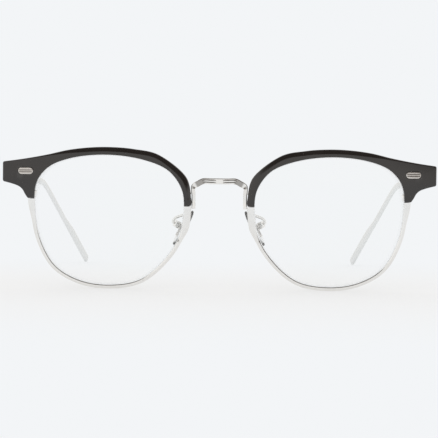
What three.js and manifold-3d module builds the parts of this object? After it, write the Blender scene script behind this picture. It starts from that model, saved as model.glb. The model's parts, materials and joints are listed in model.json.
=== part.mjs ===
// Browline eyeglasses: black brows over full metal rims, a metal bridge and slim metal temples.
// Millimetres. +Z is up, the front faces -Y, and the glasses stand on the rims and the temple tips.
// One side is built at +X, the wearer's left. The other side is its mirror image.
import * as THREE from "three";
import { mergeVertices } from "three/addons/utils/BufferGeometryUtils.js";
import Module from "manifold-3d";

const wasm = await Module();
wasm.setup();

// ---- eye openings and the curve of the front ----
const EYE_WIDTH = 49.3;
const EYE_HEIGHT = 42.8;
const EYE_GAP = 23.2; // between the two openings, across the nose
const BASE_CURVE_RADIUS = 150; // dome of each eye
const WRAP_SLOPE = 0.052; // each eye turns back towards its temple
const TILT_SLOPE = 0.0875; // the lower edge lies further back

// ---- rims and lenses ----
const RIM_WIDTH = 1.35;
const RIM_DEPTH = 2.2;
const RIM_UNDER_BROW = 1.1; // narrower where the brow hides it
const RIM_AT_TEMPLE_LEG = 2.3; // broad just below the brow's outer leg
const RIM_TEMPLE_TAPER = 8; // length of that taper
const RIM_AT_NOSE = 2.35; // broad strip below the brow's nose end
const RIM_NOSE_STRIP = 11.6; // length of that strip
const RIM_PROUD = 0.45; // bare rim stands this far forward of the covered rim
const RIM_EDGE = 0.2;
const GROOVE_DEPTH = 0.5;
const GROOVE_HALF = 0.55;
const LENS_THICKNESS = 1.6;
const LENS_BITE = 0.42; // how far the lens edge enters the groove

// ---- brow ----
const BROW_FRONT = 1.6; // brow face, forward of the rim
const BROW_EDGE = 0.35;
const BROW_NOSE_WALL = 2.35;
const BROW_LOW_WALL = 2.42;
const BROW_SIDE_WALL = 3.1;
const BROW_CREST_WALL = 2.8;
const BROW_TOP_WALL = 2.6;
const BROW_SHOULDER_WALL = 2.85;
const BROW_NOSE_END_RISE = 4.9; // nose end, above the eye's middle
const BROW_LEG_DROP = 9.0; // outer leg's end, below the hinge
const BROW_LEG_WIDTH = 2.3;
const ENDPIECE_REACH = 10.8; // brow's outer corner, beyond the opening
const ENDPIECE_ABOVE = 3.0; // outer corner above and below the hinge line
const ENDPIECE_BELOW = 3.5;
const HINGE_BELOW_EYE_TOP = 5.5;
const CORNER_RADIUS = 0.6;

// ---- plaque on the brow ----
const PLAQUE_LENGTH = 5.15;
const PLAQUE_HEIGHT = 2.35;
const PLAQUE_THICKNESS = 0.75;
const PLAQUE_FROM_OPENING = 2.9;
const PLAQUE_GAP = 0.1;

// ---- metal endpiece and hinge ----
const LUG_THICKNESS = 1.5;
const LUG_HEIGHT = 4.2;
const LUG_INSET = 0.3; // lug starts just outside the opening
const HINGE_RADIUS = 1.3;
const HINGE_STANDOFF = 0.2; // knuckles stand clear of the lug by this much more
const HINGE_SLOT = 1.6; // height of the middle knuckle and its gaps
const HINGE_LEAF = 0.6;
const HINGE_LEAF_INNER = 1.9; // leaf reaches this far inward of the pivot
const TEMPLE_LEAF_LENGTH = 6;
const TEMPLE_LEAF_THICKNESS = 0.65;
const TEMPLE_LEAF_HEIGHT = 1.9;

// ---- temple ----
const TEMPLE_INSET = 2.7; // bar's middle, inside the brow's outer corner
const TEMPLE_THICKNESS = 1.1;
const TEMPLE_HEIGHT = 2.3;
const TEMPLE_NECK_HEIGHT = 1.9; // behind the ear bend
const TEMPLE_TO_BEND = 83; // pivot to ear bend
const TEMPLE_DROOP = THREE.MathUtils.degToRad(3.4);
const BEND_REACH = 8; // each leg of the ear bend's curve
const DROP_ANGLE = THREE.MathUtils.degToRad(38.5);
const DROP_INWARD = THREE.MathUtils.degToRad(18);
const PADDLE_HEIGHT = 3.0;
const PADDLE_LENGTH = 18.5;
const PADDLE_FLARE = 12;

// ---- bridge ----
const BRIDGE_FLAT_HALF = 5.3;
const BRIDGE_HEIGHT = 1.95;
const BRIDGE_DEPTH = 1.7;
const BRIDGE_RISE = 13.15; // bar's middle above the eye's middle
const BRIDGE_FORWARD = 2.6; // bar's middle, forward of the rim's back
const BRIDGE_LEG_THICKNESS = 1.25;
const BRIDGE_FOOT_DROP = 0.9; // foot ends this far below the brow's nose end

// ---- nose pads ----
const PAD_LENGTH = 13;
const PAD_WIDTH = 6.6;
const PAD_THICKNESS = 1.9;
const PAD_OUT = 0.35; // pad's middle, outside the opening's nose edge
const PAD_BACK = 5.4; // behind the rim's back
const PAD_DROP = 2.5; // below the eye's middle
const PAD_LEAN = THREE.MathUtils.degToRad(30);
const PAD_SPLAY = THREE.MathUtils.degToRad(12);
const INSERT_LENGTH = 6.8;
const INSERT_WIDTH = 3.0;
const INSERT_THICKNESS = 0.45;
const STEM_WIDTH = 1.2;
const STEM_RADIUS = 0.7;
const PIVOT_BEHIND_PAD = 2.0;
const BOX_LENGTH = 2.2;
const BOX_WALL = 0.5;
const PAD_WIRE_RADIUS = 0.45;

// ---- screws ----
const SCREW_RADIUS = 0.5;
const SCREW_HEAD_RADIUS = 0.95;
const SCREW_HEAD_HEIGHT = 0.5;
const PAD_SCREW_RADIUS = 0.42;
const NOSE_SCREW_RADIUS = 0.38;
const NOSE_SCREW_HEAD = 0.7;
const PAD_SCREW_HEAD = 0.72;
const SMALL_HEAD_HEIGHT = 0.4; // nose and pad screws

const SCREW_SIDES = 14;
const KNUCKLE_SIDES = 22;

// ---- clearances ----
const SEAT_GAP = 0.07; // between soldered or seated faces
const CURVED_GAP = 0.14; // where a plain face lies against the brow's curved back
const RUN_GAP = 0.06; // radial, between a screw and its hole
const BOX_SIDE_GAP = 0.08; // between the pad's stem and its box, at each side
const BOX_FLOOR_GAP = 0.12; // behind the stem
const BOX_OFF_PAD = 0.35; // from the pad's back to the box
const BRIDGE_GAP = 0.12; // between the bridge's leg and the rim

// ---- places worked out from the sizes above ----
const eyeCentreX = EYE_GAP / 2 + EYE_WIDTH / 2;
const eyeCentreZ = RIM_WIDTH + EYE_HEIGHT / 2;
const eyeTopZ = eyeCentreZ + EYE_HEIGHT / 2;
const openingOuterX = EYE_GAP / 2 + EYE_WIDTH;
const hingeZ = eyeTopZ - HINGE_BELOW_EYE_TOP;
const cornerX = openingOuterX + ENDPIECE_REACH;
const templeX = cornerX - TEMPLE_INSET;
const templeInnerX = templeX - TEMPLE_THICKNESS / 2;
const pivotX = templeInnerX - SEAT_GAP - HINGE_RADIUS;
const lugEndX = templeX + TEMPLE_THICKNESS / 2;
const plaqueX = openingOuterX + PLAQUE_FROM_OPENING;

// How far behind the front-most plane the covered rim's face lies.
function frontDepth(x, z) {
  const dx = x - eyeCentreX;
  const dz = z - eyeCentreZ;
  const dome = (dx * dx + dz * dz) / (2 * BASE_CURVE_RADIUS);
  return dome + WRAP_SLOPE * (x - EYE_GAP / 2) + TILT_SLOPE * (eyeTopZ - z);
}

const lugBackY = frontDepth(lugEndX, hingeZ) + RIM_DEPTH + CURVED_GAP + LUG_THICKNESS;
const pivotY = lugBackY + SEAT_GAP + HINGE_RADIUS + HINGE_STANDOFF;

// ---- solids ----
const vec = (x, y, z) => new THREE.Vector3(x, y, z);

function solidOf(geometry) {
  const bare = new THREE.BufferGeometry();
  bare.setAttribute("position", geometry.getAttribute("position"));
  if (geometry.index) bare.setIndex(geometry.index);
  const merged = mergeVertices(bare, 1e-4);
  const kept = [];
  const index = merged.index.array;
  for (let i = 0; i < index.length; i += 3) {
    const [a, b, c] = [index[i], index[i + 1], index[i + 2]];
    if (a !== b && b !== c && c !== a) kept.push(a, b, c);
  }
  const build = (triVerts) =>
    new wasm.Manifold(
      new wasm.Mesh({ numProp: 3, vertProperties: merged.attributes.position.array, triVerts }),
    );
  const made = build(new Uint32Array(kept));
  return made.volume() > 0 ? made : build(new Uint32Array(kept.reverse()));
}

function geometryOf(solid) {
  const mesh = solid.getMesh();
  const geometry = new THREE.BufferGeometry();
  geometry.setAttribute("position", new THREE.BufferAttribute(mesh.vertProperties, 3));
  geometry.setIndex(new THREE.BufferAttribute(mesh.triVerts, 1));
  geometry.computeVertexNormals();
  return geometry;
}

// Triangles between rings of equal length, as a list of their corners.
function skin(rings) {
  const corners = [];
  for (let r = 0; r + 1 < rings.length; r++) {
    const [low, high] = [rings[r], rings[r + 1]];
    low.forEach((p, i) => {
      const j = (i + 1) % low.length;
      corners.push(p, low[j], high[j], p, high[j], high[i]);
    });
  }
  return corners;
}

const solidFrom = (corners) => solidOf(new THREE.BufferGeometry().setFromPoints(corners));

// Solid through rings: a closed loop of them, or a run with a fan over each end.
function loft(rings, loop = false) {
  if (loop) return solidFrom(skin([...rings, rings[0]]));
  const fan = ([hub, ...rim]) => rim.slice(1).flatMap((p, i) => [hub, rim[i], p]);
  return solidFrom([...skin(rings), ...fan(rings[0]).reverse(), ...fan(rings[rings.length - 1])]);
}

// Triangles that fill an outline, turned the way its points run, with no edge over a length.
function fill(outline, longest = Infinity) {
  const clockwise = THREE.ShapeUtils.isClockWise(outline);
  const split = ([a, b, c]) => {
    const lengths = [a.distanceTo(b), b.distanceTo(c), c.distanceTo(a)];
    const most = Math.max(...lengths);
    if (most <= longest) return [a, b, c];
    if (most === lengths[1]) return split([b, c, a]);
    if (most === lengths[2]) return split([c, a, b]);
    const middle = a.clone().add(b).multiplyScalar(0.5);
    return [...split([a, middle, c]), ...split([middle, b, c])];
  };
  return THREE.ShapeUtils.triangulateShape(outline, []).flatMap(([a, b, c]) =>
    split((clockwise ? [a, c, b] : [a, b, c]).map((i) => outline[i])),
  );
}

// Four sides with cut corners, centred on zero: pairs along two axes.
function cutRectangle(width, height, corner) {
  const [w, h, c] = [width / 2, height / 2, corner];
  return [
    [w - c, -h], [w, c - h], [w, h - c], [w - c, h],
    [c - w, h], [-w, h - c], [-w, c - h], [c - w, -h],
  ];
}

function place(geometry, origin, x, y, z) {
  geometry.applyMatrix4(new THREE.Matrix4().makeBasis(x, y, z).setPosition(origin));
  return solidOf(geometry);
}

const X = vec(1, 0, 0);
const Y = vec(0, 1, 0);
const Z = vec(0, 0, 1);

// Box between two corners of a frame with its own axes.
function block(origin, axes, low, high) {
  const size = high.map((value, i) => value - low[i]);
  const geometry = new THREE.BoxGeometry(...size);
  geometry.translate(...high.map((value, i) => (value + low[i]) / 2));
  return place(geometry, origin, ...axes);
}

const rowBlock = (low, high) => block(vec(0, 0, 0), [X, Y, Z], low, high);

// Perpendicular axes with the middle one along a direction.
function axesAlong(direction) {
  const turn = new THREE.Quaternion().setFromUnitVectors(Y, direction.clone().normalize());
  return [X, Y, Z].map((axis) => axis.clone().applyQuaternion(turn));
}

function rod(from, to, radius, sides = SCREW_SIDES) {
  const along = to.clone().sub(from);
  const geometry = new THREE.CylinderGeometry(radius, radius, along.length(), sides);
  return place(geometry, from.clone().add(to).multiplyScalar(0.5), ...axesAlong(along));
}

// Slotted screw with its head's seat at a point and its shank pointing away from the head.
function screw(seat, towardsHead, length, radius, headRadius, headHeight) {
  const profile = [
    [0, -length], [radius * 0.7, -length], [radius, 0.3 - length], [radius, 0],
    [headRadius, 0], [headRadius, headHeight * 0.6], [headRadius * 0.75, headHeight], [0, headHeight],
  ];
  const turned = new THREE.LatheGeometry(profile.map(([r, y]) => new THREE.Vector2(r, y)), SCREW_SIDES);
  const axes = axesAlong(towardsHead);
  const slotHalf = headRadius * 0.14;
  const slot = [
    [-headRadius * 1.2, headHeight * 0.5, -slotHalf],
    [headRadius * 1.2, headHeight * 1.5, slotHalf],
  ];
  return place(turned, seat, ...axes).subtract(block(seat, axes, ...slot));
}

const join = (...solids) => solids.reduce((a, b) => a.add(b));
const cut = (solid, ...tools) => tools.reduce((a, b) => a.subtract(b), solid);

// ---- the eye's outline, from its lowest point up the nose side and round over the top ----
const EYE_SHAPE = [
  [-0.016, -1], [-0.417, -0.913], [-0.735, -0.615], [-0.945, -0.227],
  [-1, 0.313], [-0.948, 0.541], [-0.781, 0.777], [-0.451, 0.931],
  [0.032, 1], [0.514, 0.941], [0.807, 0.803], [0.966, 0.571],
  [0.994, 0.131], [0.916, -0.33], [0.72, -0.72], [0.387, -0.939],
];
const eyeCurve = new THREE.CatmullRomCurve3(
  EYE_SHAPE.map(([u, v]) =>
    vec(eyeCentreX + (u * EYE_WIDTH) / 2, 0, eyeCentreZ + (v * EYE_HEIGHT) / 2),
  ),
  true,
  "centripetal",
);
eyeCurve.arcLengthDivisions = 400;
const eyeLength = eyeCurve.getLength();
const EYE_STEPS = 54;

// Share of the way round at which the outline has a height, on the nose side or the temple side.
function shareAtHeight(z, noseSide) {
  let [below, above] = noseSide ? [0.02, 0.48] : [0.98, 0.52];
  for (let i = 0; i < 40; i++) {
    const middle = (below + above) / 2;
    if (eyeCurve.getPointAt(middle).z < z) below = middle;
    else above = middle;
  }
  return (below + above) / 2;
}

const browNoseShare = shareAtHeight(eyeCentreZ + BROW_NOSE_END_RISE, true);
const browLegShare = shareAtHeight(hingeZ - BROW_LEG_DROP, false);
const noseStripShare = browNoseShare - RIM_NOSE_STRIP / eyeLength;
const stepShare = 0.1 / eyeLength;

// Point at a share of the way round, set outward from the opening and back from the front.
function eyePoint(share, outward, back) {
  const s = THREE.MathUtils.euclideanModulo(share, 1);
  const p = eyeCurve.getPointAt(s);
  const t = eyeCurve.getTangentAt(s);
  const x = p.x - t.z * outward;
  const z = p.z + t.x * outward;
  return vec(x, frontDepth(x, z) + back, z);
}

// Outward, rearward and onward directions of the outline at a share.
function eyeAxes(share) {
  const t = eyeCurve.getTangentAt(share);
  return [vec(-t.z, 0, t.x), Y, vec(t.x, 0, t.z)];
}

// Even steps round the eye, with a pair of close ones at each sharp change of the rim.
function eyeShares() {
  const sharp = [browNoseShare - stepShare, browLegShare + stepShare, noseStripShare];
  const even = Array.from({ length: EYE_STEPS }, (_, i) => i / EYE_STEPS);
  const kept = even.filter((s) => sharp.every((k) => Math.abs(s - k) > 0.3 / EYE_STEPS));
  const pairs = sharp.flatMap((k) => [k - stepShare / 2, k + stepShare / 2]);
  return [...kept, ...pairs].sort((a, b) => a - b);
}

function rimWidth(share) {
  if (share > browNoseShare - stepShare && share < browLegShare + stepShare) return RIM_UNDER_BROW;
  if (share > noseStripShare && share < 0.5) return RIM_AT_NOSE;
  const below = (share - browLegShare) * eyeLength;
  const taper = share > 0.5 ? THREE.MathUtils.smoothstep(below, 0, RIM_TEMPLE_TAPER) : 1;
  return THREE.MathUtils.lerp(RIM_AT_TEMPLE_LEG, RIM_WIDTH, taper);
}

// ---- rim: a grooved ring, split and closed by a block behind the brow's leg ----
const GROOVE_MIDDLE = RIM_DEPTH / 2;
const blockShare = shareAtHeight(hingeZ - LUG_HEIGHT / 2 - 2.6, false);
const BLOCK_HALF = 1.8;
const BLOCK_WIDTH = 2.5;
const BLOCK_DEPTH = 2.1;
const SPLIT_GAP = 0.25;
const blockBore = [BLOCK_WIDTH / 2, RIM_DEPTH + CURVED_GAP + BLOCK_DEPTH / 2];

const tabShare = shareAtHeight(eyeCentreZ + BROW_NOSE_END_RISE + 4.2, true);
const TAB_THICKNESS = 0.65;
const TAB_HALF = 0.95;
const TAB_REACH = 2.6;
const tabScrewOut = 1.9;

function rimRing() {
  const rings = eyeShares().map((share) => {
    const width = rimWidth(share);
    const front = width === RIM_UNDER_BROW ? 0 : -RIM_PROUD;
    const back = RIM_DEPTH;
    const section = [
      [0, front + RIM_EDGE], [RIM_EDGE, front], [width - RIM_EDGE, front],
      [width, front + RIM_EDGE], [width, back], [0, back],
      [0, GROOVE_MIDDLE + GROOVE_HALF], [GROOVE_DEPTH, GROOVE_MIDDLE + 0.12],
      [GROOVE_DEPTH, GROOVE_MIDDLE - 0.12], [0, GROOVE_MIDDLE - GROOVE_HALF],
    ];
    return section.map(([outward, depth]) => eyePoint(share, outward, depth));
  });
  return loft(rings, true);
}

// A piece behind the rim: a riser on the rim's back, and a plate that also covers the brow's back.
function rimTab(share, reach, half, thickness) {
  const [out, , on] = eyeAxes(share);
  const rectangle = (low, high) =>
    [[low, -half], [high, -half], [high, half], [low, half]].map(([o, n]) =>
      flat(eyePoint(share, 0, 0).addScaledVector(out, o).addScaledVector(on, n)),
    );
  const foot = 0.12;
  const seat = RIM_DEPTH + CURVED_GAP;
  const back = seat + thickness;
  const riser = rectangle(foot, RIM_UNDER_BROW - 0.3);
  const plate = rectangle(foot, reach);
  return join(
    frontPlate([[riser, RIM_DEPTH - 0.3], [riser, back]]),
    frontPlate([[plate, seat], [plate, back]]),
  );
}

function boreThrough(share, outward, depth, radius) {
  const middle = eyePoint(share, outward, depth);
  const reach = eyeAxes(share)[2].multiplyScalar(BLOCK_HALF * 2);
  return rod(middle.clone().sub(reach), middle.clone().add(reach), radius);
}

function makeRim() {
  const closing = rimTab(blockShare, BLOCK_WIDTH, BLOCK_HALF, BLOCK_DEPTH);
  const split = block(
    eyePoint(blockShare, 0, 0),
    eyeAxes(blockShare),
    [-3, -3, -SPLIT_GAP / 2],
    [BLOCK_WIDTH + 3, RIM_DEPTH + BLOCK_DEPTH + 3, SPLIT_GAP / 2],
  );
  const lockBore = boreThrough(blockShare, ...blockBore, SCREW_RADIUS + RUN_GAP);
  const tab = rimTab(tabShare, TAB_REACH, TAB_HALF, TAB_THICKNESS);
  const tabBore = noseScrewRod(NOSE_SCREW_RADIUS + RUN_GAP, RIM_DEPTH - 0.5);
  return cut(join(rimRing(), closing, tab), split, lockBore, tabBore);
}

function makeRimLockScrew() {
  const on = eyeAxes(blockShare)[2];
  const seat = eyePoint(blockShare, ...blockBore).addScaledVector(on, BLOCK_HALF + SEAT_GAP);
  const length = BLOCK_HALF * 2 - 0.2;
  return screw(seat, on, length, SCREW_RADIUS, SCREW_HEAD_RADIUS, SCREW_HEAD_HEIGHT);
}

// ---- lens: a domed disc whose bevelled edge sits in the rim's groove ----
function makeLens() {
  const shares = eyeShares();
  const centre = vec(eyeCentreX, 0, eyeCentreZ);
  const half = LENS_THICKNESS / 2;
  const inner = (scale, side) =>
    shares.map((share) => {
      const p = eyePoint(share, 0, 0).sub(centre).multiplyScalar(scale).add(centre);
      return vec(p.x, frontDepth(p.x, p.z) + GROOVE_MIDDLE + side * half, p.z);
    });
  const edge = (outward, depth) =>
    shares.map((share) => eyePoint(share, outward, GROOVE_MIDDLE + depth));
  const rings = [
    inner(0.1, -1), inner(0.55, -1), edge(-0.2, -half), edge(-0.12, -0.44),
    edge(LENS_BITE, -0.06), edge(LENS_BITE, 0.06),
    edge(-0.12, 0.44), edge(-0.2, half), inner(0.55, 1), inner(0.1, 1),
  ];
  return loft(rings);
}

// ---- brow ----
// Round a sharp corner of an outline by an arc of four points.
function roundCorner(before, corner, after, radius) {
  const to = (p) => p.clone().sub(corner).setLength(radius).add(corner);
  const curve = new THREE.QuadraticBezierCurve(to(before), corner, to(after));
  return curve.getPoints(3);
}

const flat = (p) => new THREE.Vector2(p.x, p.z);

// The brow's outer edge, from its nose end over the top to the foot of its leg.
function browOuterEdge() {
  const share = (f) => THREE.MathUtils.lerp(browNoseShare, browLegShare, f);
  const walls = [
    [0, BROW_NOSE_WALL], [0.035, BROW_LOW_WALL], [0.13, BROW_SIDE_WALL], [0.27, BROW_SIDE_WALL],
    [0.39, BROW_CREST_WALL], [0.5, BROW_TOP_WALL], [0.6, BROW_TOP_WALL], [0.7, BROW_SHOULDER_WALL],
  ];
  const over = walls.map(([f, wall]) => flat(eyePoint(share(f), wall, 0)));
  const topCorner = new THREE.Vector2(cornerX, hingeZ + ENDPIECE_ABOVE);
  const lowCorner = new THREE.Vector2(cornerX, hingeZ - ENDPIECE_BELOW);
  const shoulder = [[-4.9, 5.55], [0, 4.6], [5.2, 3.75]].map(
    ([out, up]) => new THREE.Vector2(openingOuterX + out, hingeZ + up),
  );
  const top = new THREE.SplineCurve([...over, ...shoulder, topCorner]).getPoints(36);
  const legFoot = flat(eyePoint(browLegShare, BROW_LEG_WIDTH, 0));
  const hollow = [[-3.3, 4.7], [-5.5, 3.9], [-6.8, 2.8], [-7.6, 1.4]].map(
    ([out, up]) => new THREE.Vector2(cornerX + out, hingeZ - BROW_LEG_DROP + up),
  );
  const low = new THREE.SplineCurve([lowCorner, ...hollow, legFoot]).getPoints(12);
  const beforeTop = top[top.length - 2];
  return [
    ...top.slice(0, -1),
    ...roundCorner(beforeTop, topCorner, lowCorner, CORNER_RADIUS),
    ...roundCorner(topCorner, lowCorner, low[1], CORNER_RADIUS),
    ...low.slice(1),
  ];
}

// The brow's inner edge, from leg to nose, at a distance outward from the opening.
function browInnerEdge(outward) {
  const between = eyeShares().filter((s) => s > browNoseShare && s < browLegShare);
  const shares = [browLegShare, ...between.reverse(), browNoseShare];
  return shares.map((share) => flat(eyePoint(share, outward, 0)));
}

// Outline moved inward by a small amount.
function inset(outline, amount) {
  const count = outline.length;
  const side = THREE.ShapeUtils.isClockWise(outline) ? 1 : -1;
  return outline.map((p, i) => {
    const before = p.clone().sub(outline[(i + count - 1) % count]).normalize();
    const after = outline[(i + 1) % count].clone().sub(p).normalize();
    const along = before.clone().add(after).normalize();
    const miter = amount / Math.max(0.5, along.dot(after));
    return new THREE.Vector2(p.x + side * along.y * miter, p.y - side * along.x * miter);
  });
}

// Plate that follows the front's curve, through outlines at given depths.
const LONGEST_FACET = 6;

function frontPlate(layers) {
  const onFront = (depth) => (p) => vec(p.x, frontDepth(p.x, p.y) + depth, p.y);
  const edge = (outline, i) => [outline[i], outline[(i + 1) % outline.length]];
  const pieces = layers[0][0].map((_, i) => {
    const lengths = layers.map(([outline]) => edge(outline, i)[0].distanceTo(edge(outline, i)[1]));
    return Math.ceil(Math.max(...lengths) / LONGEST_FACET);
  });
  const fine = layers.map(([outline, depth]) => {
    const points = pieces.flatMap((count, i) => {
      const [from, to] = edge(outline, i);
      return Array.from({ length: count }, (_, k) => from.clone().lerp(to, k / count));
    });
    return [points, depth];
  });
  const sides = skin(fine.map(([outline, depth]) => outline.map(onFront(depth))));
  const ends = [fine[0], fine[fine.length - 1]].map(([outline, depth]) =>
    fill(outline, LONGEST_FACET).map(onFront(depth)),
  );
  return solidFrom([...sides, ...ends[0].reverse(), ...ends[1]]);
}

function browBlank() {
  const outer = browOuterEdge();
  const face = [...outer, ...browInnerEdge(0)];
  const wall = [...outer, ...browInnerEdge(RIM_UNDER_BROW + SEAT_GAP)];
  const backEdge = 0.25;
  return frontPlate([
    [inset(face, BROW_EDGE), -BROW_FRONT],
    [face, BROW_EDGE - BROW_FRONT],
    [face, -SEAT_GAP],
    [wall, -SEAT_GAP],
    [wall, RIM_DEPTH - backEdge],
    [inset(wall, backEdge), RIM_DEPTH],
  ]);
}

// Oval with half-round ends, at the plaque's place.
function plaqueOutline(grow) {
  const radius = PLAQUE_HEIGHT / 2 + grow;
  const straight = (PLAQUE_LENGTH - PLAQUE_HEIGHT) / 2;
  const shape = new THREE.Shape();
  shape.absarc(plaqueX + straight, hingeZ, radius, -Math.PI / 2, Math.PI / 2);
  shape.absarc(plaqueX - straight, hingeZ, radius, Math.PI / 2, (Math.PI * 3) / 2);
  return shape.getPoints(8);
}

const pocketFloor = PLAQUE_THICKNESS - BROW_FRONT;

function makePlaque() {
  const outline = plaqueOutline(0);
  const dome = 0.12;
  return frontPlate([
    [inset(outline, 0.3), -BROW_FRONT - dome],
    [outline, dome - BROW_FRONT],
    [outline, pocketFloor - PLAQUE_GAP],
  ]);
}

// Rods along Y on the brow screws' axes, with their front ends at a depth behind the front.
const legScrewX = openingOuterX + 0.6;

function legScrewRod(radius, depth) {
  const y = frontDepth(legScrewX, hingeZ);
  return rod(vec(legScrewX, y + depth, hingeZ), vec(legScrewX, y + depth + 12, hingeZ), radius);
}

function noseScrewRod(radius, depth) {
  const p = eyePoint(tabShare, tabScrewOut, 0);
  return rod(vec(p.x, p.y + depth, p.z), vec(p.x, p.y + depth + 8, p.z), radius);
}

const LEG_SCREW_TIP = -0.35;
const NOSE_SCREW_TIP = 0.3;
const HOLE_SPARE = 0.25;

function makeBrow() {
  const pocket = frontPlate([
    [plaqueOutline(PLAQUE_GAP), -BROW_FRONT - 1],
    [plaqueOutline(PLAQUE_GAP), pocketFloor],
  ]);
  const legHole = legScrewRod(SCREW_RADIUS + RUN_GAP, LEG_SCREW_TIP - HOLE_SPARE);
  const noseHole = noseScrewRod(NOSE_SCREW_RADIUS + RUN_GAP, NOSE_SCREW_TIP - HOLE_SPARE);
  return cut(browBlank(), pocket, legHole, noseHole);
}

// ---- endpiece: a bent lug behind the brow, from the rim to the hinge ----
const lugInnerX = eyeCurve.getPointAt(shareAtHeight(hingeZ - LUG_HEIGHT / 2, false)).x + LUG_INSET;
const legScrewSeat = RIM_DEPTH + CURVED_GAP + LUG_THICKNESS - 0.45;

function makeEndpiece() {
  const steps = 6;
  const atStep = (i) => THREE.MathUtils.lerp(lugInnerX, lugEndX, i / steps);
  const front = Array.from({ length: steps + 1 }, (_, i) => {
    const x = atStep(i);
    return new THREE.Vector2(x, frontDepth(x, hingeZ) + RIM_DEPTH + CURVED_GAP);
  });
  const flatFromX = pivotX - HINGE_LEAF_INNER - 0.3;
  const back = front
    .filter((p) => p.x < flatFromX)
    .map((p) => new THREE.Vector2(p.x, p.y + LUG_THICKNESS))
    .reverse();
  const hingeSeat = [lugEndX, flatFromX].map((x) => new THREE.Vector2(x, lugBackY));
  const plan = [...front, ...hingeSeat, ...back];
  const corner = 0.3;
  const level = (z) => (p) => vec(p.x, p.y, z);
  const small = inset(plan, corner / 2);
  const [low, high] = [hingeZ - LUG_HEIGHT / 2, hingeZ + LUG_HEIGHT / 2];
  const lug = solidFrom([
    ...skin([
      small.map(level(low)),
      plan.map(level(low + corner)),
      plan.map(level(high - corner)),
      small.map(level(high)),
    ]),
    ...fill(small).map(level(low)).reverse(),
    ...fill(small).map(level(high)),
  ]);
  return cut(
    lug,
    legScrewRod(SCREW_RADIUS + RUN_GAP, 0),
    legScrewRod(SCREW_HEAD_RADIUS + RUN_GAP, legScrewSeat),
  );
}

// ---- hinge: two knuckles on the endpiece, one on the temple, and a screw ----
const SLOT_SPARE = 0.06; // above and below the middle knuckle

function knuckle(radius, fromZ, toZ) {
  return rod(vec(pivotX, pivotY, fromZ), vec(pivotX, pivotY, toZ), radius, KNUCKLE_SIDES);
}

function makeHingeFront() {
  const low = hingeZ - LUG_HEIGHT / 2;
  const high = hingeZ + LUG_HEIGHT / 2;
  const leafY = lugBackY + SEAT_GAP;
  const leaf = rowBlock(
    [pivotX - HINGE_LEAF_INNER, leafY, low],
    [pivotX + HINGE_RADIUS, leafY + HINGE_LEAF, high],
  );
  const web = rowBlock([pivotX - HINGE_RADIUS, leafY, low], [pivotX + HINGE_RADIUS, pivotY, high]);
  const slot = rod(
    vec(pivotX, pivotY, hingeZ - HINGE_SLOT / 2),
    vec(pivotX, pivotY, hingeZ + HINGE_SLOT / 2),
    HINGE_RADIUS + 0.12,
    KNUCKLE_SIDES,
  );
  const solid = join(leaf, web, knuckle(HINGE_RADIUS, low, high));
  return cut(solid, slot, knuckle(SCREW_RADIUS + RUN_GAP, low - 1, high + 1));
}

function makeHingeRear() {
  const half = HINGE_SLOT / 2 - SLOT_SPARE;
  const leafOuter = templeInnerX - SEAT_GAP;
  const leafInner = leafOuter - TEMPLE_LEAF_THICKNESS;
  const neckEnd = pivotY + HINGE_RADIUS + 0.25;
  const neck = rowBlock([leafInner, pivotY, hingeZ - half], [leafOuter, neckEnd, hingeZ + half]);
  const leaf = rowBlock(
    [leafInner, neckEnd - 0.2, hingeZ - TEMPLE_LEAF_HEIGHT / 2],
    [leafOuter, neckEnd + TEMPLE_LEAF_LENGTH, hingeZ + TEMPLE_LEAF_HEIGHT / 2],
  );
  const solid = join(knuckle(HINGE_RADIUS, hingeZ - half, hingeZ + half), neck, leaf);
  return cut(solid, knuckle(SCREW_RADIUS + RUN_GAP, hingeZ - 3, hingeZ + 3));
}

function makeHingeScrew() {
  const seat = vec(pivotX, pivotY, hingeZ + LUG_HEIGHT / 2 + SEAT_GAP);
  return screw(seat, Z, LUG_HEIGHT + SEAT_GAP, SCREW_RADIUS, SCREW_HEAD_RADIUS, SCREW_HEAD_HEIGHT);
}

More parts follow.
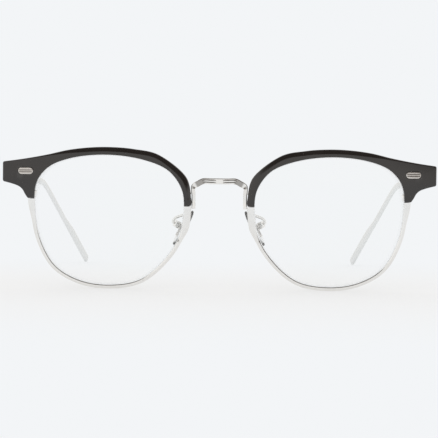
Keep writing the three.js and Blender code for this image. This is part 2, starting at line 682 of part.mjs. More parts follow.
// ---- temple: flat bar, ear bend, and a drop that turns inward to a paddle on the floor ----
function templeStations() {
  const run = vec(0, Math.cos(TEMPLE_DROOP), -Math.sin(TEMPLE_DROOP));
  const drop = vec(
    -Math.sin(DROP_INWARD) * Math.cos(DROP_ANGLE),
    Math.cos(DROP_INWARD) * Math.cos(DROP_ANGLE),
    -Math.sin(DROP_ANGLE),
  );
  const pivot = vec(templeX, pivotY, hingeZ);
  const bend = pivot.clone().addScaledVector(run, TEMPLE_TO_BEND);
  const tipRise = (TEMPLE_NECK_HEIGHT / 2) * Math.cos(DROP_ANGLE);
  const dropLength = (bend.z - tipRise) / Math.sin(DROP_ANGLE);
  const front = pivot.clone().addScaledVector(run, lugBackY + SEAT_GAP * 1.5 - pivotY);
  const curve = new THREE.QuadraticBezierCurve3(
    bend.clone().addScaledVector(run, -BEND_REACH),
    bend,
    bend.clone().addScaledVector(drop, BEND_REACH),
  );
  const bar = [TEMPLE_HEIGHT / 2, TEMPLE_HEIGHT / 2];
  const neck = [TEMPLE_NECK_HEIGHT / 2, TEMPLE_NECK_HEIGHT / 2];
  const paddle = [PADDLE_HEIGHT - TEMPLE_NECK_HEIGHT / 2, TEMPLE_NECK_HEIGHT / 2];
  const bendSteps = 8;
  const stations = [{ at: front, along: run, half: bar }];
  for (let i = 0; i <= bendSteps; i++) {
    const f = i / bendSteps;
    const half = THREE.MathUtils.lerp(TEMPLE_HEIGHT, TEMPLE_NECK_HEIGHT, f) / 2;
    stations.push({ at: curve.getPoint(f), along: curve.getTangent(f), half: [half, half] });
  }
  const onDrop = (fromEnd, half) =>
    stations.push({ at: bend.clone().addScaledVector(drop, dropLength - fromEnd), along: drop, half });
  onDrop(PADDLE_LENGTH + PADDLE_FLARE, neck);
  onDrop(PADDLE_LENGTH, paddle);
  onDrop(0.9, paddle);
  onDrop(0.25, [paddle[0] - 0.35, paddle[1]]);
  onDrop(0, [paddle[0] - 0.9, paddle[1] - 0.35]);
  return stations;
}

function makeTemple() {
  const corner = 0.25;
  const rings = templeStations().map(({ at, along, half: [above, below] }) => {
    const across = vec(along.y, -along.x, 0).normalize();
    const upward = across.clone().cross(along);
    const middle = (above - below) / 2;
    return cutRectangle(TEMPLE_THICKNESS, above + below, corner).map(([a, b]) =>
      at.clone().addScaledVector(across, a).addScaledVector(upward, b + middle),
    );
  });
  return loft(rings);
}

// ---- bridge: a bar with sloping shoulders and a leg down each rim's nose side ----
function makeBridge() {
  const barZ = eyeCentreZ + BRIDGE_RISE;
  const footZ = eyeCentreZ + BROW_NOSE_END_RISE - BRIDGE_FOOT_DROP;
  const noseEdge = eyePoint(browNoseShare - stepShare, Math.max(BROW_NOSE_WALL, RIM_AT_NOSE), 0);
  const legX = noseEdge.x - BRIDGE_GAP - BRIDGE_LEG_THICKNESS / 2;
  const legY = noseEdge.y + RIM_DEPTH / 2;
  const barY = noseEdge.y + RIM_DEPTH - BRIDGE_FORWARD;
  const half = new THREE.CatmullRomCurve3(
    [
      vec(legX, legY, footZ),
      vec(legX + 0.02, legY - 0.1, (footZ + barZ) / 2),
      vec(legX + 0.05, (legY + barY * 2) / 3, barZ - 1.9),
      vec((legX + BRIDGE_FLAT_HALF) / 2, barY + 0.1, barZ - 0.75),
      vec(BRIDGE_FLAT_HALF, barY, barZ),
      vec(BRIDGE_FLAT_HALF / 2, barY - 0.05, barZ),
      vec(-0.2, barY - 0.05, barZ),
    ],
    false,
    "centripetal",
  );
  const steps = 18;
  const rings = Array.from({ length: steps + 1 }, (_, i) => {
    const at = half.getPoint(i / steps);
    const along = half.getTangent(i / steps);
    const level = Math.abs(along.x) / Math.hypot(along.x, along.z);
    const height = THREE.MathUtils.lerp(BRIDGE_LEG_THICKNESS, BRIDGE_HEIGHT, level);
    const sideways = vec(along.z, 0, -along.x).normalize();
    return cutRectangle(height, BRIDGE_DEPTH, 0.25).map(([a, b]) =>
      at.clone().addScaledVector(sideways, a).addScaledVector(Y, b),
    );
  });
  const side = loft(rings);
  const other = geometryOf(side).scale(-1, 1, 1);
  return join(side, solidOf(other));
}

// ---- nose pad and what carries it, in the pad's own axes ----
const rimBackAtPad = frontDepth(EYE_GAP / 2, eyeCentreZ - PAD_DROP) + RIM_DEPTH;
const padCentre = vec(EYE_GAP / 2 + PAD_OUT, rimBackAtPad + PAD_BACK, eyeCentreZ - PAD_DROP);
const padUp = vec(-Math.sin(PAD_LEAN), 0, Math.cos(PAD_LEAN));
const padAway = vec(Math.cos(PAD_LEAN), 0, Math.sin(PAD_LEAN)); // from the nose to the lens
const padAcross = Y.clone()
  .multiplyScalar(Math.cos(PAD_SPLAY))
  .addScaledVector(padAway, Math.sin(PAD_SPLAY));
const padBehind = padUp.clone().cross(padAcross); // from the nose face to the pad's back
if (padBehind.dot(padAway) < 0) padBehind.negate();
const padAxes = [padUp, padAcross, padBehind];
const padBlock = (low, high) => block(padCentre, padAxes, low, high);

function padPoint(up, across, behind) {
  return padCentre
    .clone()
    .addScaledVector(padUp, up)
    .addScaledVector(padAcross, across)
    .addScaledVector(padBehind, behind);
}

const insertBack = PAD_THICKNESS / 2 - 0.1;
const insertFront = insertBack - INSERT_THICKNESS;
const slotHalf = STEM_WIDTH / 2 + BOX_SIDE_GAP;
const boxHalf = slotHalf + BOX_WALL;
const boxFront = PAD_THICKNESS / 2 + BOX_OFF_PAD;
const boxFloor = PIVOT_BEHIND_PAD + STEM_RADIUS + BOX_FLOOR_GAP;

function padPivotRod(radius, half) {
  return rod(
    padPoint(0, -half, PIVOT_BEHIND_PAD),
    padPoint(0, half, PIVOT_BEHIND_PAD),
    radius,
  );
}

function makeNosePad() {
  const oval = new THREE.SphereGeometry(1, 24, 12);
  oval.scale(PAD_LENGTH / 2, PAD_WIDTH / 2, PAD_THICKNESS / 2);
  const gap = 0.1;
  const pocket = padBlock(
    [-INSERT_LENGTH / 2 - gap, -INSERT_WIDTH / 2 - gap, insertFront - gap],
    [INSERT_LENGTH / 2 + gap, INSERT_WIDTH / 2 + gap, PAD_THICKNESS],
  );
  return cut(place(oval, padCentre, ...padAxes), pocket);
}

function makePadInsert() {
  const core = padBlock(
    [-INSERT_LENGTH / 2, -INSERT_WIDTH / 2, insertFront],
    [INSERT_LENGTH / 2, INSERT_WIDTH / 2, insertBack],
  );
  const stem = padBlock(
    [-STEM_RADIUS, -STEM_WIDTH / 2, insertFront],
    [STEM_RADIUS, STEM_WIDTH / 2, PIVOT_BEHIND_PAD],
  );
  const eye = padPivotRod(STEM_RADIUS, STEM_WIDTH / 2);
  return cut(join(core, stem, eye), padPivotRod(PAD_SCREW_RADIUS + RUN_GAP, PAD_WIDTH));
}

function makePadBox() {
  const shell = padBlock(
    [-BOX_LENGTH / 2, -boxHalf, boxFront],
    [BOX_LENGTH / 2, boxHalf, boxFloor + BOX_WALL],
  );
  const slot = padBlock([-BOX_LENGTH, -slotHalf, 0], [BOX_LENGTH, slotHalf, boxFloor]);
  return cut(shell, slot, padPivotRod(PAD_SCREW_RADIUS + RUN_GAP, PAD_WIDTH));
}

function makePadScrew() {
  const seat = padPoint(0, -boxHalf - SEAT_GAP, PIVOT_BEHIND_PAD);
  const towardsHead = padAcross.clone().negate();
  const length = boxHalf * 2 + SEAT_GAP;
  return screw(seat, towardsHead, length, PAD_SCREW_RADIUS, PAD_SCREW_HEAD, SMALL_HEAD_HEIGHT);
}

// Bent wire from the rim's back to the back of the box.
function makePadArm() {
  const share = browNoseShare - 1.4 / eyeLength;
  const foot = eyePoint(share, 1.05, RIM_DEPTH + SEAT_GAP);
  const end = padPoint(0, 0, boxFloor + BOX_WALL + SEAT_GAP);
  const reach = end.clone().sub(foot);
  const path = new THREE.CatmullRomCurve3([
    foot,
    foot.clone().add(vec(0.1, 1.3, -0.1)),
    foot.clone().add(vec(reach.x * 0.22, reach.y * 0.75, reach.z * 0.3)),
    end.clone().addScaledVector(padBehind, 0.75).addScaledVector(padUp, 1.3),
    end.clone().addScaledVector(padBehind, 0.6),
    end,
  ]);
  const steps = 14;
  const frames = path.computeFrenetFrames(steps, false);
  const sides = 8;
  const rings = Array.from({ length: steps + 1 }, (_, i) => {
    const at = path.getPointAt(i / steps);
    return Array.from({ length: sides }, (_, k) => {
      const angle = (k / sides) * Math.PI * 2;
      return at
        .clone()
        .addScaledVector(frames.normals[i], Math.cos(angle) * PAD_WIRE_RADIUS)
        .addScaledVector(frames.binormals[i], Math.sin(angle) * PAD_WIRE_RADIUS);
    });
  });
  return loft(rings);
}

function makeLegScrew() {
  const y = frontDepth(legScrewX, hingeZ);
  const seat = vec(legScrewX, y + legScrewSeat + SEAT_GAP, hingeZ);
  const length = legScrewSeat + SEAT_GAP - LEG_SCREW_TIP;
  return screw(seat, Y, length, SCREW_RADIUS, SCREW_HEAD_RADIUS, SCREW_HEAD_HEIGHT);
}

function makeNoseScrew() {
  const p = eyePoint(tabShare, tabScrewOut, 0);
  const seatDepth = RIM_DEPTH + CURVED_GAP * 2 + TAB_THICKNESS;
  const seat = vec(p.x, p.y + seatDepth, p.z);
  const length = seatDepth - NOSE_SCREW_TIP;
  return screw(seat, Y, length, NOSE_SCREW_RADIUS, NOSE_SCREW_HEAD, SMALL_HEAD_HEIGHT);
}

// ---- finishes ----
const finish = (color, roughness, metalness, more = {}) =>
  new THREE.MeshStandardMaterial({ color, roughness, metalness, ...more });
const silver = finish(0xd9d8d3, 0.22, 1);
const steel = finish(0xbdbcb8, 0.35, 1);
const blackAcetate = finish(0x0b0a0a, 0.12, 0);
const clearLens = finish(0xf4f8f6, 0.03, 0, { transparent: true, opacity: 0.25 });
const silicone = finish(0xe8ebea, 0.3, 0, { transparent: true, opacity: 0.6 });

// ---- assembly ----
const SIDE_PIECES = [
  ["brow", makeBrow, blackAcetate],
  ["brow_plaque", makePlaque, silver],
  ["rim", makeRim, silver],
  ["rim_lock_screw", makeRimLockScrew, steel],
  ["lens", makeLens, clearLens],
  ["brow_nose_screw", makeNoseScrew, steel],
  ["brow_leg_screw", makeLegScrew, steel],
  ["endpiece", makeEndpiece, silver],
  ["hinge_front", makeHingeFront, silver],
  ["hinge_rear", makeHingeRear, silver],
  ["hinge_screw", makeHingeScrew, steel],
  ["temple", makeTemple, silver],
  ["nose_pad", makeNosePad, silicone],
  ["nose_pad_insert", makePadInsert, steel],
  ["nose_pad_box", makePadBox, silver],
  ["nose_pad_screw", makePadScrew, steel],
  ["nose_pad_arm", makePadArm, silver],
];

function namedMesh(name, geometry, material) {
  const mesh = new THREE.Mesh(geometry, material.clone());
  mesh.name = name;
  return mesh;
}

const left = new THREE.Group();
const right = new THREE.Group();
right.scale.x = -1;
for (const [name, make, material] of SIDE_PIECES) {
  const geometry = geometryOf(make());
  left.add(namedMesh("left_" + name, geometry, material));
  right.add(namedMesh("right_" + name, geometry.clone(), material));
}

const glasses = new THREE.Group();
glasses.add(left, right, namedMesh("bridge", geometryOf(makeBridge()), silver));

// The origin is on the floor, under the middle of the whole object.
const reach = new THREE.Box3().setFromObject(glasses, true);
glasses.position.y = -(reach.min.y + reach.max.y) / 2;
glasses.position.z = -reach.min.z;

export default glasses;
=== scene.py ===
# Browline eyeglasses: black acetate brows over silver rims, an engraved bridge and slim temples.
# The pieces are shaped in millimetres around the front, then placed in the frame in metres.
import bisect
import json
import math

import bmesh
import bpy
from mathutils import Matrix, Vector
from mathutils.geometry import interpolate_bezier
from mathutils.kdtree import KDTree


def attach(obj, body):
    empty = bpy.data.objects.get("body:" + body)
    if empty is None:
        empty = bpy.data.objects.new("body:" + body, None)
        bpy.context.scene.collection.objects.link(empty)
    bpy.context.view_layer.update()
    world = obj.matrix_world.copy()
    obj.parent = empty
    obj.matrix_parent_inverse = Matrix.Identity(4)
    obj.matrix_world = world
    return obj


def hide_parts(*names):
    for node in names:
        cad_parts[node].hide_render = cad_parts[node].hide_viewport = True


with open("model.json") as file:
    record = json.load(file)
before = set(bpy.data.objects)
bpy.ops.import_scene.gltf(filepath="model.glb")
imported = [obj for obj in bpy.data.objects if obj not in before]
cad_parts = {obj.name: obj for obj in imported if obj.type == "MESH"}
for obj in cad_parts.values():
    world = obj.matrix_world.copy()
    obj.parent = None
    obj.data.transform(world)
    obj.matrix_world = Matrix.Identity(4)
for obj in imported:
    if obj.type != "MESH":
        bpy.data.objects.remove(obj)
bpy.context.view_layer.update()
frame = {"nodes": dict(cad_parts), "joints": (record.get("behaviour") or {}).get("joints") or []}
scene = bpy.context.scene
joints = {joint["name"]: joint for joint in frame["joints"]}

MM = 0.001

# ---- the front, as the frame has it ----
EYE_WIDTH = 49.3
EYE_HEIGHT = 42.8
EYE_GAP = 23.2
BASE_CURVE_RADIUS = 150
WRAP_SLOPE = 0.052
TILT_SLOPE = 0.0875
RIM_WIDTH = 1.35
RIM_DEPTH = 2.2
RIM_UNDER_BROW = 1.1
RIM_AT_TEMPLE_LEG = 2.3
RIM_TEMPLE_TAPER = 8
RIM_AT_NOSE = 2.35
RIM_NOSE_STRIP = 11.6
RIM_PROUD = 0.45
RIM_ROUND = 0.34
GROOVE_DEPTH = 0.5
GROOVE_HALF = 0.55
LENS_HALF = 0.8
LENS_BITE = 0.42

# ---- brow ----
BROW_FRONT = 1.6
BROW_NOSE_WALL = 2.35
BROW_LOW_WALL = 2.42
BROW_SIDE_WALL = 3.1
BROW_CREST_WALL = 2.8
BROW_TOP_WALL = 2.6
BROW_SHOULDER_WALL = 2.85
BROW_NOSE_END_RISE = 4.9
BROW_LEG_DROP = 9.0
BROW_LEG_WIDTH = 2.3
ENDPIECE_REACH = 10.8
ENDPIECE_ABOVE = 3.0
ENDPIECE_BELOW = 3.5
HINGE_BELOW_EYE_TOP = 5.5
CORNER_RADIUS = 0.6
OUTER_EDGE_ROUND = 0.3
NOSE_CORNER_ROUND = 0.5
RIM_INNER_EASE = 1.7
INNER_EDGE_ROUND = 0.2
CROWN_SLOPE = 0.75
CROWN_ON_BAND = 1.75
CROWN_AT_NOSE = 2.3
CROWN_AT_CORNER = 0.6

# ---- plaque ----
PLAQUE_LENGTH = 5.15
PLAQUE_HEIGHT = 2.35
PLAQUE_THICKNESS = 0.75
PLAQUE_FROM_OPENING = 2.9
PLAQUE_GAP = 0.1
PLAQUE_DOME = 0.12
PLAQUE_EDGE_ROUND = 0.3
PLAQUE_GROOVES = (-0.3, 0.3)
PLAQUE_GROOVE_HALF = 0.2
PLAQUE_GROOVE_DEPTH = 0.12
PLAQUE_GROOVE_INSET = 0.45

# ---- lug, hinge and temple ----
LUG_THICKNESS = 1.5
LUG_HEIGHT = 4.2
HINGE_RADIUS = 1.3
HINGE_STANDOFF = 0.2
TEMPLE_INSET = 2.7
TEMPLE_THICKNESS = 1.1
TEMPLE_HEIGHT = 2.3
TEMPLE_NECK_HEIGHT = 1.9
TEMPLE_TO_BEND = 83
TEMPLE_DROOP = math.radians(3.4)
BEND_REACH = 8
DROP_ANGLE = math.radians(38.5)
DROP_INWARD = math.radians(18)
PADDLE_HEIGHT = 3.0
PADDLE_LENGTH = 18.5
PADDLE_FLARE = 12

# ---- bridge ----
BRIDGE_FLAT_HALF = 5.3
BRIDGE_HEIGHT = 1.95
BRIDGE_DEPTH = 1.7
BRIDGE_RISE = 13.15
BRIDGE_FORWARD = 2.6
BRIDGE_LEG_THICKNESS = 1.25
BRIDGE_FOOT_DROP = 0.9
BRIDGE_GAP = 0.12

# ---- nose pads ----
PAD_LENGTH = 13
PAD_WIDTH = 6.6
PAD_THICKNESS = 1.9
PAD_OUT = 0.35
PAD_BACK = 5.4
PAD_DROP = 2.5
PAD_LEAN = math.radians(30)
PAD_SPLAY = math.radians(12)
PIVOT_BEHIND_PAD = 2.0
STEM_WIDTH = 1.2
STEM_RADIUS = 0.7
BOX_SIDE_GAP = 0.08
BOX_FLOOR_GAP = 0.12
BOX_WALL = 0.5
PAD_WIRE_RADIUS = 0.45

# ---- screws and gaps ----
SCREW_RADIUS = 0.5
SCREW_HEAD_RADIUS = 0.95
SCREW_HEAD_HEIGHT = 0.5
PAD_SCREW_RADIUS = 0.42
PAD_SCREW_HEAD = 0.72
NOSE_SCREW_RADIUS = 0.38
NOSE_SCREW_HEAD = 0.7
SMALL_HEAD_HEIGHT = 0.4
SEAT_GAP = 0.07
CURVED_GAP = 0.14

# ---- places worked out from the sizes ----
eye_centre = Vector((EYE_GAP / 2 + EYE_WIDTH / 2, RIM_WIDTH + EYE_HEIGHT / 2))
eye_top = eye_centre.y + EYE_HEIGHT / 2
opening_outer = EYE_GAP / 2 + EYE_WIDTH
hinge_z = eye_top - HINGE_BELOW_EYE_TOP
corner_x = opening_outer + ENDPIECE_REACH
temple_x = corner_x - TEMPLE_INSET
lug_end_x = temple_x + TEMPLE_THICKNESS / 2
pivot_x = temple_x - TEMPLE_THICKNESS / 2 - SEAT_GAP - HINGE_RADIUS


def front_depth(x, z):
    """How far behind the front-most plane the covered rim's face lies."""
    aside, above = x - eye_centre.x, z - eye_centre.y
    dome = (aside**2 + above**2) / (2 * BASE_CURVE_RADIUS)
    return dome + WRAP_SLOPE * (x - EYE_GAP / 2) + TILT_SLOPE * (eye_top - z)


lug_back = front_depth(lug_end_x, hinge_z) + RIM_DEPTH + CURVED_GAP + LUG_THICKNESS
pivot_y = lug_back + SEAT_GAP + HINGE_RADIUS + HINGE_STANDOFF
front_y = joints["left_temple_fold"]["pos_m"][1] - pivot_y * MM
TO_FRAME = Matrix.Translation((0, front_y, 0)) @ Matrix.Scale(MM, 4)


# ---- lines ----
def spline(points, closed=False, steps=24, power=0.5):
    """Smooth line through points: power 0.5 keeps tight turns round, 0 is the plain form."""
    count = len(points)

    def knot(i):
        if closed:
            return points[i % count]
        if i < 0:
            return points[0] * 2 - points[1]
        if i >= count:
            return points[-1] * 2 - points[-2]
        return points[i]

    line = []
    for i in range(count if closed else count - 1):
        before, start, end, after = (knot(i + k) for k in (-1, 0, 1, 2))
        gaps = [(b - a).length ** power for a, b in ((before, start), (start, end), (end, after))]
        leave = (start - before) / gaps[0] - (end - before) / (gaps[0] + gaps[1]) + (end - start) / gaps[1]
        arrive = (end - start) / gaps[1] - (after - start) / (gaps[1] + gaps[2]) + (after - end) / gaps[2]
        handles = start + leave * gaps[1] / 3, end - arrive * gaps[1] / 3
        line += interpolate_bezier(start, *handles, end, steps + 1)[:-1]
    return line if closed else line + [points[-1]]


class Route:
    """A line that is read by the share of the way along it."""

    def __init__(self, points, closed=False):
        self.points = points + points[:1] if closed else points
        self.closed = closed
        self.reach = [0.0]
        for a, b in zip(self.points, self.points[1:]):
            self.reach.append(self.reach[-1] + (b - a).length)
        self.length = self.reach[-1]

    def at(self, share):
        share = share % 1 if self.closed else min(max(share, 0), 1)
        goal = share * self.length
        i = min(max(bisect.bisect(self.reach, goal), 1), len(self.reach) - 1)
        part = (goal - self.reach[i - 1]) / (self.reach[i] - self.reach[i - 1])
        return self.points[i - 1].lerp(self.points[i], part)

    def along(self, share):
        step = 0.25 / self.length
        return (self.at(share + step) - self.at(share - step)).normalized()


def smooth_step(value, low, high):
    part = min(max((value - low) / (high - low), 0), 1)
    return part * part * (3 - 2 * part)


def mix(a, b, part):
    return a + (b - a) * part


# ---- the eye's outline, from its lowest point up the nose side and round over the top ----
EYE_SHAPE = [
    (-0.016, -1), (-0.417, -0.913), (-0.735, -0.615), (-0.945, -0.227),
    (-1, 0.313), (-0.948, 0.541), (-0.781, 0.777), (-0.451, 0.931),
    (0.032, 1), (0.514, 0.941), (0.807, 0.803), (0.966, 0.571),
    (0.994, 0.131), (0.916, -0.33), (0.72, -0.72), (0.387, -0.939),
]
eye = Route(
    spline(
        [eye_centre + Vector((u * EYE_WIDTH / 2, v * EYE_HEIGHT / 2)) for u, v in EYE_SHAPE],
        closed=True,
    ),
    closed=True,
)


def share_at_height(z, nose_side):
    """Share of the way round at which the outline has a height, on one side."""
    below, above = (0.02, 0.48) if nose_side else (0.98, 0.52)
    for _ in range(40):
        middle = (below + above) / 2
        if eye.at(middle).y < z:
            below = middle
        else:
            above = middle
    return (below + above) / 2


brow_nose_share = share_at_height(eye_centre.y + BROW_NOSE_END_RISE, True)
brow_leg_share = share_at_height(hinge_z - BROW_LEG_DROP, False)
nose_strip_share = brow_nose_share - RIM_NOSE_STRIP / eye.length
step_share = 0.1 / eye.length


def beside_eye(share, outward):
    """Point in the front view, set outward from the opening."""
    along = eye.along(share)
    return eye.at(share) + Vector((-along.y, along.x)) * outward


def on_front(point, back):
    return Vector((point.x, front_depth(point.x, point.y) + back, point.y))


def eye_point(share, outward, back):
    return on_front(beside_eye(share, outward), back)


def eye_axes(share):
    along = eye.along(share)
    return Vector((-along.y, 0, along.x)), Vector((0, 1, 0)), Vector((along.x, 0, along.y))


# ---- mesh work ----
def loft(rings, closed=False):
    """Closed shape through rings of points: a loop of rings, or a run with both ends filled."""
    bm = bmesh.new()
    loops = []
    for points in rings:
        verts = [bm.verts.new(p) for p in points]
        loops.append([bm.edges.new(pair) for pair in zip(verts, verts[1:] + verts[:1])])
    onward = loops[1:] + loops[:1] if closed else loops[1:]
    for low, high in zip(loops, onward):
        bmesh.ops.bridge_loops(bm, edges=low + high)
    if not closed:
        for end in (loops[0], loops[-1]):
            bmesh.ops.edgeloop_fill(bm, edges=end)
    bmesh.ops.recalc_face_normals(bm, faces=bm.faces)
    return bm


def eased_ends(rings, size):
    """The same run of rings with a small chamfer round each end."""

    def ease(end, following):
        middle = sum(end, Vector()) / len(end)
        inward = (sum(following, Vector()) / len(following) - middle).normalized() * size
        small = [p + (middle - p).normalized() * min(size, (middle - p).length / 2) for p in end]
        return small, [p + inward for p in end]

    first, second = ease(rings[0], rings[1])
    last, before_last = ease(rings[-1], rings[-2])
    return [first, second, *rings[1:-1], before_last, last]


def quarter_turn(steps, first=0):
    """Steps round a quarter circle, each as (1 - cosine, 1 - sine)."""
    angles = [math.radians(90 * k / steps) for k in range(first, steps + 1)]
    return [(1 - math.cos(angle), 1 - math.sin(angle)) for angle in angles]


def rounded_rectangle(width, height, radius, steps=4):
    points = []
    for quarter, (side, level) in enumerate([(1, -1), (1, 1), (-1, 1), (-1, -1)]):
        centre = Vector((side * (width / 2 - radius), level * (height / 2 - radius)))
        for k in range(steps + 1):
            angle = math.radians(90 * (quarter - 1 + k / steps))
            points.append(centre + Vector((math.cos(angle), math.sin(angle))) * radius)
    return points


def new_mesh(name, bm):
    mesh = bpy.data.meshes.new(name)
    bm.to_mesh(mesh)
    bm.free()
    return mesh


def new_object(name, data):
    made = bpy.data.objects.new(name, data)
    scene.collection.objects.link(made)
    return made


def move(bm, matrix):
    bmesh.ops.transform(bm, matrix=matrix, verts=bm.verts)


def combine(bm, operation, *tools):
    """One closed mesh joined with others, or cut by them."""
    for tool in tools:
        body, other = (new_object("scratch", new_mesh("scratch", b)) for b in (bm, tool))
        step = body.modifiers.new("combine", "BOOLEAN")
        step.operation, step.object, step.solver = operation, other, "EXACT"
        graph = bpy.context.evaluated_depsgraph_get()
        result = bpy.data.meshes.new_from_object(body.evaluated_get(graph))
        bm = bmesh.new()
        bm.from_mesh(result)
        for spare in (body, other):
            mesh = spare.data
            bpy.data.objects.remove(spare)
            bpy.data.meshes.remove(mesh)
        bpy.data.meshes.remove(result)
    bmesh.ops.remove_doubles(bm, verts=bm.verts, dist=1e-4)
    return bm


def bevel_corners(bm, width, segments=3, sharper_than=40):
    limit = math.radians(sharper_than)
    edges = [e for e in bm.edges if e.is_manifold and e.calc_face_angle() > limit]
    bmesh.ops.bevel(
        bm, geom=edges, offset=width, segments=segments, profile=0.5, affect="EDGES",
        clamp_overlap=True, material=-1,
    )
    return bm


def block(origin, axes, low, high, ease=0.0):
    """Box between two corners of a frame with its own axes."""
    bm = bmesh.new()
    bmesh.ops.create_cube(bm, size=1)
    size = [h - l for l, h in zip(low, high)]
    middle = [(h + l) / 2 for l, h in zip(low, high)]
    bmesh.ops.scale(bm, vec=size, verts=bm.verts)
    bmesh.ops.translate(bm, vec=middle, verts=bm.verts)
    if ease:
        bevel_corners(bm, ease)
    move(bm, frame_of(origin, axes))
    bmesh.ops.recalc_face_normals(bm, faces=bm.faces)
    return bm


def frame_of(origin, axes):
    return Matrix.Translation(origin) @ Matrix(axes).transposed().to_4x4()


def axes_along(direction):
    """Perpendicular axes with the middle one along a direction."""
    turn = Vector((0, 1, 0)).rotation_difference(direction.normalized())
    return [turn @ Vector(axis) for axis in ((1, 0, 0), (0, 1, 0), (0, 0, 1))]


def screw(seat, towards_head, length, radius, head_radius, head_height):
    """Slotted screw: its head's seat is at a point and its shank points away from the head."""
    ease = head_height * 0.35
    profile = [(0, -length), (radius * 0.7, -length), (radius, 0.3 - length), (radius, 0), (head_radius, 0)]
    profile += [(head_radius - ease * inward, head_height - ease * down) for inward, down in quarter_turn(4)]
    profile.append((0, head_height))
    bm = bmesh.new()
    verts = [bm.verts.new((r, y, 0)) for r, y in profile]
    edges = [bm.edges.new(pair) for pair in zip(verts, verts[1:])]
    bmesh.ops.spin(
        bm, geom=verts + edges, cent=(0, 0, 0), axis=(0, 1, 0), dvec=(0, 0, 0),
        angle=math.tau, steps=40, use_merge=True, use_duplicate=False,
    )
    bmesh.ops.remove_doubles(bm, verts=bm.verts, dist=1e-4)
    bmesh.ops.recalc_face_normals(bm, faces=bm.faces)
    move(bm, frame_of(seat, axes_along(towards_head)))
    slot = block(
        seat, axes_along(towards_head),
        (-head_radius * 1.2, head_height * 0.45, -head_radius * 0.13),
        (head_radius * 1.2, head_height * 1.5, head_radius * 0.13),
    )
    return combine(bm, "DIFFERENCE", slot)


def refined(node, ease):
    """The left CAD node's shape with its loose triangles merged and its edges eased."""
    bm = bmesh.new()
    bm.from_mesh(frame["nodes"]["left_" + node].data)
    move(bm, TO_FRAME.inverted())
    bmesh.ops.remove_doubles(bm, verts=bm.verts, dist=1e-4)
    bmesh.ops.dissolve_limit(bm, angle_limit=math.radians(2), verts=bm.verts, edges=bm.edges)
    return bevel_corners(bm, ease, segments=2, sharper_than=35)


# ---- finishes: effects that several materials share ----
def new_group(name, inputs, outputs):
    """Empty shader node group with named inputs and outputs, and its sockets at both ends."""
    tree = bpy.data.node_groups.new(name, "ShaderNodeTree")
    for label, kind, default in inputs:
        socket = tree.interface.new_socket(name=label, in_out="INPUT", socket_type=kind)
        socket.default_value = default
    for label, kind in outputs:
        tree.interface.new_socket(name=label, in_out="OUTPUT", socket_type=kind)
    return tree, tree.nodes.new("NodeGroupInput").outputs, tree.nodes.new("NodeGroupOutput").inputs


def feed(tree, socket, value):
    """Sets a socket to a plain value, or links it to another socket."""
    if isinstance(value, bpy.types.NodeSocket):
        tree.links.new(value, socket)
    else:
        socket.default_value = value


def add(tree, kind, settings=None, **values):
    """New node with its settings, its plain values, and its links from other sockets."""
    node = tree.nodes.new(kind)
    for label, value in (settings or {}).items():
        setattr(node, label, value)
    for label, value in values.items():
        feed(tree, node.inputs[int(label[1:]) if label[1:].isdigit() else label.replace("_", " ")], value)
    return node


def math_node(tree, operation, first, second=0.5, third=0.5):
    node = add(tree, "ShaderNodeMath", {"operation": operation}, i0=first, i1=second, i2=third)
    return node.outputs[0]


def mix_shaders(tree, factor, first, second):
    return add(tree, "ShaderNodeMixShader", i0=factor, i1=first, i2=second).outputs[0]


def noise(tree, vector, scale, detail, **more):
    made = add(tree, "ShaderNodeTexNoise", Vector=vector, Scale=scale, Detail=detail, **more)
    return made.outputs["Fac"]


def ramp(tree, value, low, high, most=1.0):
    """Smooth rise from 0 to the most as a value goes from low to high."""
    return add(
        tree, "ShaderNodeMapRange", {"interpolation_type": "SMOOTHSTEP"},
        Value=value, From_Min=low, From_Max=high, To_Max=most,
    ).outputs["Result"]


def stretched(tree, vector, stretch):
    """The vector with each axis multiplied, to draw a pattern out along one of them."""
    return add(tree, "ShaderNodeVectorMath", {"operation": "MULTIPLY"}, i0=vector, i1=stretch).outputs[0]


VALUE, VECTOR = "NodeSocketFloat", "NodeSocketVector"


def scratch_group():
    """Fine hairlines drawn out along one axis, and a slow unevenness under them."""
    tree, given, out = new_group(
        "hairline scratches",
        [("Vector", VECTOR, (0, 0, 0)), ("Stretch", VECTOR, (1, 1, 1)), ("Scale", VALUE, 900.0),
         ("Cover", VALUE, 0.5)],
        [("Height", VALUE), ("Marks", VALUE), ("Cloud", VALUE)],
    )
    drawn = stretched(tree, given["Vector"], given["Stretch"])
    lines = noise(tree, drawn, given["Scale"], 5.0, Roughness=0.62)
    cloud = noise(tree, given["Vector"], 140.0, 3.0)
    tree.links.new(lines, out["Height"])
    tree.links.new(ramp(tree, lines, given["Cover"], 0.78), out["Marks"])
    tree.links.new(cloud, out["Cloud"])
    return tree


def wear_group():
    """Rubbed edges: the piece's own edge mark, broken up by a noise."""
    tree, given, out = new_group(
        "rubbed edges",
        [("Edge", VALUE, 0.0), ("Vector", VECTOR, (0, 0, 0)), ("Amount", VALUE, 0.5)],
        [("Mask", VALUE)],
    )
    grain = noise(tree, given["Vector"], 420.0, 4.0)
    broken = math_node(tree, "MULTIPLY", given["Edge"], grain)
    tree.links.new(ramp(tree, broken, 0.1, 0.55, given["Amount"]), out["Mask"])
    return tree


